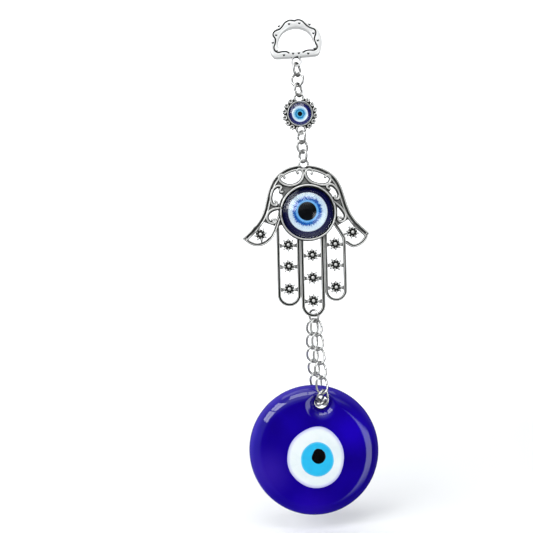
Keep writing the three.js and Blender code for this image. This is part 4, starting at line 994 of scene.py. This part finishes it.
def jump_ring(name, radius, wire, where, cut_at, gap=0.16, spread=0.12):
    """A ring of round wire, cut through at one place, its two ends nearly meeting and a little out of line."""
    n, sides = 96, 20
    half = gap / 2 / radius
    a = math.radians(cut_at) + np.linspace(half, 2 * math.pi - half, n)
    t = np.linspace(-1, 1, n)
    pts = np.stack([radius * np.cos(a), spread * 0.5 * np.sign(t) * np.abs(t) ** 3, radius * np.sin(a)], 1)
    r = np.full(n, wire / 2)
    r[[0, -1]] *= 0.86
    r[[1, -2]] *= 0.97
    v, f = sweep(pts, r, sides, closed=False, hint=(0, 1, 0))
    return mesh_object(name, v, f, WIRE, wire_attributes(n, sides, 2 * math.pi * radius, 0.75, 2, facing_out(v, pts, sides, where)), where)


def build_rings():
    for i, (z, yaw) in enumerate(zip(UPPER_Z, UPPER_YAW)):
        name = f"upper_ring_{i + 1}"
        obj = jump_ring(name + "_wire", UPPER_R, 0.94, place_at(AXIS_X, 0, z, turn_z=yaw), (40, 150, 200)[i])
        place_piece(obj, name, "bright_wire", name)
    for i, (z, yaw) in enumerate(zip(LOWER_Z, LOWER_YAW)):
        name = f"lower_ring_{i + 1}"
        obj = jump_ring(name + "_wire", LOWER_R, 0.94, place_at(AXIS_X, 0, z, turn_z=yaw), (160, 20, 330)[i])
        place_piece(obj, name, "bright_wire", name)
    obj = jump_ring("finger_ring_wire", FINGER_R, 0.86, place_at(RAIL_X, 0, FINGER_RING_Z, turn_z=FINGER_YAW), 10)
    place_piece(obj, "finger_ring", "bright_wire", "finger_ring")


def chain_link(name, top, bottom, wire=0.88, width=4.2, twist=45.0):
    """An oval of round wire whose ends are twisted opposite ways, with a butt seam in one long side."""
    top, bottom = np.array(top), np.array(bottom)
    z_axis = top - bottom
    length = np.linalg.norm(z_axis)
    z_axis /= length
    x_axis = np.array([1.0, 0, 0]) - z_axis * z_axis[0]
    x_axis /= np.linalg.norm(x_axis)
    y_axis = np.cross(z_axis, x_axis)
    r, half = width / 2, length / 2
    straight = half - r
    # start half way up the right side, go up, over and round
    n = 132
    quarter = np.pi * r
    total = 2 * quarter + 4 * straight
    s = np.linspace(0.05, total - 0.05, n)
    flat = []
    for d in s:
        if d < straight:
            flat.append((r, d))
        elif d < straight + quarter:
            a = (d - straight) / r
            flat.append((r * math.cos(a), straight + r * math.sin(a)))
        elif d < 3 * straight + quarter:
            flat.append((-r, straight - (d - straight - quarter)))
        elif d < 3 * straight + 2 * quarter:
            a = math.pi + (d - 3 * straight - quarter) / r
            flat.append((r * math.cos(a), -straight + r * math.sin(a)))
        else:
            flat.append((r, -straight + (d - 3 * straight - 2 * quarter)))
    flat = np.array(flat)
    t = np.radians(twist) * flat[:, 1] / half
    pts = np.stack([flat[:, 0] * np.cos(t), flat[:, 0] * np.sin(t), flat[:, 1]], 1)
    rad = np.full(n, wire / 2)
    rad[[0, -1]] *= 0.88
    v, f = sweep(pts, rad, 16, closed=False, hint=(1, 0, 0))
    where = Matrix(((x_axis[0], y_axis[0], z_axis[0], 0), (x_axis[1], y_axis[1], z_axis[1], 0), (x_axis[2], y_axis[2], z_axis[2], 0), (0, 0, 0, 1)))
    mid = (top + bottom) / 2 * MM
    where = Matrix.Translation(mid) @ where
    return mesh_object(name, v, f, CHAIN_WIRE, wire_attributes(n, 16, total, 0.7, 2, facing_out(v, pts, 16, where)), where)


def build_chain():
    for name, (top, bottom) in LINKS.items():
        obj = chain_link(name + "_wire", top, bottom)
        place_piece(obj, LINK_BODY[name], "bright_wire", name)


# ================================================================ glass disc
FRONT, BACK = 4.3, 3.5
EDGE_R, FOOT_R, DOME = 6.2, 1.5, 0.45  # the front edge's radius, the back edge's radius, and the face's rise


def face_depth(r, *_):
    """How far the front face stands forward of the middle plane at a radius."""
    r = np.clip(r, 0, DISC_R)
    start = DISC_R + 0.12 - EDGE_R
    d = np.clip(r - start, 0, EDGE_R)
    return FRONT - DOME * (r / DISC_R) ** 2 - (EDGE_R - np.sqrt(EDGE_R ** 2 - d * d)) * 0.93


def disc_field(p):
    """Below zero inside the disc's glass. Millimetres, with y towards the back."""
    x, y, z = p[..., 0], p[..., 1], p[..., 2]
    r = np.sqrt(x * x + z * z)
    d = -y
    # the rounded front: a face with a big edge radius
    start = DISC_R + 0.12 - EDGE_R
    dome = FRONT - DOME * (r / DISC_R) ** 2
    a, b = np.maximum(r - start, 0), np.maximum(d - (dome - EDGE_R), 0)
    front = np.where(d > dome - EDGE_R, np.sqrt(a * a + b * b * 1.0) - EDGE_R, r - DISC_R - 0.12)
    front = np.where((r < start) & (d > dome - EDGE_R), d - dome, front)
    # the side and the flat back
    side = r - DISC_R
    qa, qb = np.maximum(side + FOOT_R, 0), np.maximum(-d - BACK + FOOT_R, 0)
    foot = np.sqrt(qa * qa + qb * qb) + np.minimum(np.maximum(side + FOOT_R, -d - BACK + FOOT_R), 0) - FOOT_R
    body = smax(front, foot, 0.35)
    rr = np.sqrt(x * x + (z - HOLE_AT) ** 2)
    hole_r = 2.66 + 3.9 * np.power(np.clip(np.where(d > 0, d / 4.35, -d / 3.5), 0, 1.4), 2.7)
    return smax(body, (hole_r - rr) * 0.85, 0.9)


def smax(a, b, k):
    h = np.clip(0.5 - 0.5 * (b - a) / k, 0, 1)
    return b * (1 - h) + a * h + k * h * (1 - h)


def build_disc():
    h = 0.28
    low, high = np.array([-27.0, -5.6, -27.0]), np.array([27.0, 4.8, 27.0])
    n = np.ceil((high - low) / h).astype(int) + 1
    axes = [low[k] + h * np.arange(n[k]) for k in range(3)]
    grid = np.stack(np.meshgrid(*axes, indexing="ij"), -1)
    field = disc_field(grid).astype(np.float32)
    vdb = openvdb.FloatGrid(3.0)
    vdb.copyFromArray(field)
    points, quads = vdb.convertToQuads(0.0)
    p = points.astype(float) * h + low
    e = 1e-3
    for _ in range(4):
        f = disc_field(p)
        g = np.stack([(disc_field(p + np.eye(3)[k] * e) - disc_field(p - np.eye(3)[k] * e)) / (2 * e) for k in range(3)], 1)
        step = f / np.maximum((g * g).sum(1), 1e-6)
        step = np.clip(step[:, None] * g, -0.2, 0.2)
        p = p - step
    where = Matrix.Translation(((HOLE_X - HOLE_AT * math.sin(math.radians(SWING))) * MM, 0, (HOLE_Z - HOLE_AT * math.cos(math.radians(SWING))) * MM)) @ Matrix.Rotation(math.radians(SWING), 4, "Y")
    obj = mesh_object("disc_blue_glass", p, quads, COBALT, place=where)
    place_piece(obj, "disc", "cobalt_glass", "disc_cobalt_glass")

    def blob(name, centre, outline, base, lift, material, slot, node):
        """A pool of glass fused into the face: flat inside, rounded down at its rim."""
        outline = np.asarray(outline, float)
        m = len(outline)
        ts = np.r_[np.linspace(0.12, 0.86, 7), 0.9, 0.93, 0.955, 0.975, 0.988, 0.996, 1.0]
        verts, rim = [np.array([[centre[0], 0, centre[1]]])], [0.0]
        for t in ts:
            ring = np.asarray(centre) + (outline - centre) * t
            verts.append(np.stack([ring[:, 0], np.zeros(m), ring[:, 1]], 1))
            rim += [t] * m
        verts = np.vstack(verts)
        rim = np.array(rim)
        fall = np.power(np.clip(1 - np.power(rim, 26), 0, 1), 0.5)
        rr = np.hypot(verts[:, 0], verts[:, 2])
        verts[:, 1] = -(face_depth(rr) - 0.12 + (lift + 0.12) * fall)
        count = len(verts)
        under = verts[-m:].copy()
        under[:, 1] = -base
        bottom = np.array([[centre[0], -base, centre[1]]])
        verts = np.vstack([verts, under, bottom])
        rim = np.r_[rim, np.ones(m), 1.0]
        k = np.arange(m)
        k2 = (k + 1) % m
        faces4 = []
        for i in range(len(ts) - 1):
            a, b = 1 + i * m, 1 + (i + 1) * m
            faces4.append(np.stack([a + k, a + k2, b + k2, b + k], 1))
        a = 1 + (len(ts) - 1) * m
        faces4.append(np.stack([a + k, a + k2, count + k2, count + k], 1))
        tri = [np.stack([np.zeros(m, int), 1 + k2, 1 + k], 1), np.stack([np.full(m, len(verts) - 1), count + k, count + k2], 1)]
        obj = mesh_object(name, verts, [np.vstack(faces4), *tri], material, {"rim": rim}, where)
        place_piece(obj, "disc", slot, node)

    def pool(centre, mean, terms):
        """An outline about a centre: a mean radius with its cosine and sine terms."""
        a = np.linspace(0, 2 * np.pi, 160, endpoint=False)
        r = mean + sum(c * np.cos((k + 1) * a) + q * np.sin((k + 1) * a) for k, (c, q) in enumerate(terms))
        return np.stack([centre[0] + r * np.cos(a), centre[1] + r * np.sin(a)], 1)

    white_at, blue_at, pupil_at = (0.54, -1.47), (1.29, -2.06), (1.58, -0.66)
    white = pool(white_at, 11.76, [(0.085, -0.022), (-0.464, -0.062), (-0.123, -0.143), (0.039, 0.0), (0.019, 0.054), (-0.059, 0.015)])
    blue = pool(blue_at, 6.82, [(-0.019, -0.001), (-0.151, -0.045), (0.022, -0.062), (0.004, -0.017), (0.019, 0.014), (0.002, -0.026)])
    black = pool(pupil_at, 2.95, [(0.051, -0.084), (-0.159, 0.008), (0.067, -0.052), (-0.014, 0.053), (0.009, -0.023)])
    blob("disc_white_pool", white_at, white, 2.75, 0.1, WHITE, "white_glass", "disc_white_glass")
    blob("disc_blue_pool", blue_at, blue, 3.62, 0.2, LIGHT_BLUE, "light_blue_glass", "disc_light_blue_glass")
    blob("disc_pupil_pool", pupil_at, black, 4.15, 0.3, BLACK, "black_glass", "disc_pupil_glass")


build_hanger()
build_connector()
build_hand()
build_rings()
build_chain()
build_disc()


# ================================================================ floor, lights and camera
def floor_material():
    """A matt pale sheet. Its upright part is lit a little from behind."""
    m = Nodes("pale_floor")
    c = m.mix(m.noise(6, 2), (0.70, 0.705, 0.71), (0.685, 0.695, 0.70))
    sep = m.node("SeparateXYZ")
    m.link(m.local(), sep.inputs[0])
    away = m.math("SQRT", m.math("ADD", m.math("MULTIPLY", sep.outputs[0], sep.outputs[0]), m.math("MULTIPLY", sep.outputs[1], sep.outputs[1])))
    lit = m.math("MAXIMUM", m.smooth(sep.outputs[1], 0.12, 0.42, 0.05, 0.5), m.smooth(away, 0.7, 1.5, 0.05, 0.85))
    shader = m.principled(Base_Color=c, Roughness=0.9, Normal=m.bump(m.noise(900, 3), 0.03, 0.0002), Emission_Strength=lit)
    shader.inputs["Specular IOR Level"].default_value = 0.05
    shader.inputs["Emission Color"].default_value = (0.98, 0.99, 1.0, 1.0)
    return m.finish(shader.outputs[0])


FLOOR_Z, WALL_Y = -201.0, 520.0
profile = [(-2600.0, FLOOR_Z), (-600.0, FLOOR_Z), (0.0, FLOOR_Z), (WALL_Y - 260, FLOOR_Z)]
for i in range(1, 25):
    a = i / 24 * math.pi / 2
    profile.append((WALL_Y - 260 + 260 * math.sin(a), FLOOR_Z + 260 * (1 - math.cos(a))))
profile.append((WALL_Y, 700.0))
profile.append((WALL_Y, 1500.0))
xs = np.linspace(-2200, 2200, 9)
verts = np.array([[x, y, z] for y, z in profile for x in xs])
faces = np.array([[j * 9 + i, j * 9 + i + 1, (j + 1) * 9 + i + 1, (j + 1) * 9 + i] for j in range(len(profile) - 1) for i in range(8)])
backdrop = mesh_object("backdrop", verts, faces, floor_material())
backdrop.visible_glossy = False


def area(name, where, aim, size, power, colour=(1, 1, 1), size_y=None, spread=180.0):
    data = bpy.data.lights.new(name, "AREA")
    data.shape = "RECTANGLE"
    data.size = size
    data.size_y = size_y or size
    data.energy = power
    data.color = colour
    data.spread = math.radians(spread)
    obj = link(bpy.data.objects.new(name, data))
    obj.location = where
    obj.rotation_euler = (Vector(aim) - Vector(where)).to_track_quat("-Z", "Y").to_euler()
    return obj


AIM = Vector((0.0, 0.0, -0.1))


def window(name, turn, away, distance, width, height, radiance, colour, columns, rows, bar=0.03):
    """Panes of one window, facing the piece. Seen from the piece, 'away' is its angle from the front and 'turn' the
    direction it lies in, in degrees anticlockwise from the right. Its height runs away from the front."""
    t, o = math.radians(turn), math.radians(away)
    outward = Vector((math.sin(o) * math.cos(t), -math.cos(o), math.sin(o) * math.sin(t)))
    upward = Vector((math.cos(o) * math.cos(t), math.sin(o), math.cos(o) * math.sin(t)))
    right = upward.cross(outward)
    w, h = (width - bar * (columns - 1)) / columns, (height - bar * (rows - 1)) / rows
    for i in range(columns):
        for j in range(rows):
            at = AIM + outward * distance + right * ((i - (columns - 1) / 2) * (w + bar)) + upward * ((j - (rows - 1) / 2) * (h + bar))
            pane = area(f"{name}_{i}_{j}", at, AIM, w, radiance * math.pi * w * h, colour, h)
            pane.rotation_euler = Matrix((right, upward, outward)).transposed().to_euler()


window("window_left", 144, 59, 1.2, 0.60, 0.80, 6.4, (0.97, 0.985, 1.0), 2, 2)
window("window_high", 90, 62, 1.2, 1.0, 0.55, 4.6, (0.98, 0.99, 1.0), 2, 1)
# light on the upright part of the sheet
area("sheet_light", (0.0, 0.1, 1.1), (0.0, 0.45, -0.1), 1.6, 4.0, (1, 1, 1), 0.5)

world = bpy.data.worlds.new("studio")
bpy.context.scene.world = world
world.use_nodes = True
tree = world.node_tree
tree.nodes.clear()


def wnode(kind, **settings):
    n = tree.nodes.new("ShaderNode" + kind)
    for k, v in settings.items():
        setattr(n, k, v)
    return n


def wmath(op, a, b=None, clamp=False):
    n = wnode("Math", operation=op, use_clamp=clamp)
    for x, s in zip((a, b), n.inputs):
        if isinstance(x, bpy.types.NodeSocket):
            tree.links.new(x, s)
        elif x is not None:
            s.default_value = x
    return n.outputs[0]


def wrange(f, a, b, c=0.0, d=1.0):
    n = wnode("MapRange", interpolation_type="SMOOTHSTEP")
    tree.links.new(f, n.inputs["Value"])
    for k, v in (("From Min", a), ("From Max", b), ("To Min", c), ("To Max", d)):
        n.inputs[k].default_value = v
    return n.outputs[0]


coord = wnode("TexCoord")
sep = wnode("SeparateXYZ")
tree.links.new(coord.outputs["Generated"], sep.inputs[0])
wx, wy, wz = sep.outputs
# what is mirrored: a dim room in front, brighter round it, brightest up and to the left
facing = wrange(wy, -0.74, -0.88)
low_part = wrange(wz, 0.16, 0.3, 1.0, 0.0)
dark = wmath("MULTIPLY", facing, low_part)
key = wmath("ADD", wmath("ADD", wmath("MULTIPLY", wx, -0.62), wmath("MULTIPLY", wz, 0.72)), wmath("MULTIPLY", wy, -0.12))
level = wrange(key, -0.2, 0.85, 0.04, 0.4)
level = wmath("MULTIPLY", level, wmath("SUBTRACT", 1.0, wmath("MULTIPLY", dark, 0.93)))
# a tall pale screen low at the right, soft at its sides and brighter at its top
flat = wmath("SQRT", wmath("MAXIMUM", wmath("SUBTRACT", 1.0, wmath("MULTIPLY", wz, wz)), 0.01))
side = wmath("ABSOLUTE", wmath("DIVIDE", wmath("ADD", wmath("MULTIPLY", wx, 0.772), wmath("MULTIPLY", wy, 0.636)), flat))
ahead = wmath("GREATER_THAN", wmath("SUBTRACT", wmath("MULTIPLY", wx, 0.636), wmath("MULTIPLY", wy, 0.772)), 0.0)
screen = wmath("MULTIPLY", wmath("MULTIPLY", wrange(side, 0.3, 0.44, 1.0, 0.0), ahead), wmath("MULTIPLY", wrange(wz, -0.78, -0.35), wrange(wz, -0.08, 0.08, 1.0, 0.0)))
level = wmath("ADD", level, wmath("MULTIPLY", screen, 2.9))
# a pale ceiling above the front
ceiling = wmath("MULTIPLY", wrange(wz, 0.4, 0.6), wrange(wy, -0.35, -0.7))
level = wmath("ADD", level, wmath("MULTIPLY", ceiling, 0.8))
path = wnode("LightPath")
even = wrange(wz, -0.8, 0.8, 0.12, 0.3)
blend = wnode("Mix", data_type="FLOAT")
tree.links.new(path.outputs["Is Diffuse Ray"], blend.inputs[0])
tree.links.new(level, blend.inputs[2])
tree.links.new(even, blend.inputs[3])
env = wnode("Background")
tree.links.new(blend.outputs[0], env.inputs["Strength"])
env.inputs["Color"].default_value = (0.97, 0.985, 1.0, 1)
plain = wnode("Background")
plain.inputs["Color"].default_value = (0.95, 0.96, 0.965, 1)
plain.inputs["Strength"].default_value = 1.0
mixed = wnode("MixShader")
tree.links.new(path.outputs["Is Camera Ray"], mixed.inputs[0])
tree.links.new(env.outputs[0], mixed.inputs[1])
tree.links.new(plain.outputs[0], mixed.inputs[2])
out = wnode("OutputWorld")
tree.links.new(mixed.outputs[0], out.inputs["Surface"])

bpy.context.scene.view_settings.view_transform = "Standard"
bpy.context.scene.view_settings.look = "None"
bpy.context.scene.view_settings.exposure = 0.0

camera = bpy.data.cameras.new("camera")
camera.lens = 43.9
camera.sensor_width = 36.0
camera.clip_start = 0.01
camera.clip_end = 20.0
camera_obj = link(bpy.data.objects.new("camera", camera))
ROLL = math.radians(4.05)
camera_obj.matrix_world = Matrix.Translation((-0.01795, -0.26, -0.0944)) @ Matrix.Rotation(math.radians(90), 4, "X") @ Matrix.Rotation(-ROLL, 4, "Z")
bpy.context.scene.camera = camera_obj

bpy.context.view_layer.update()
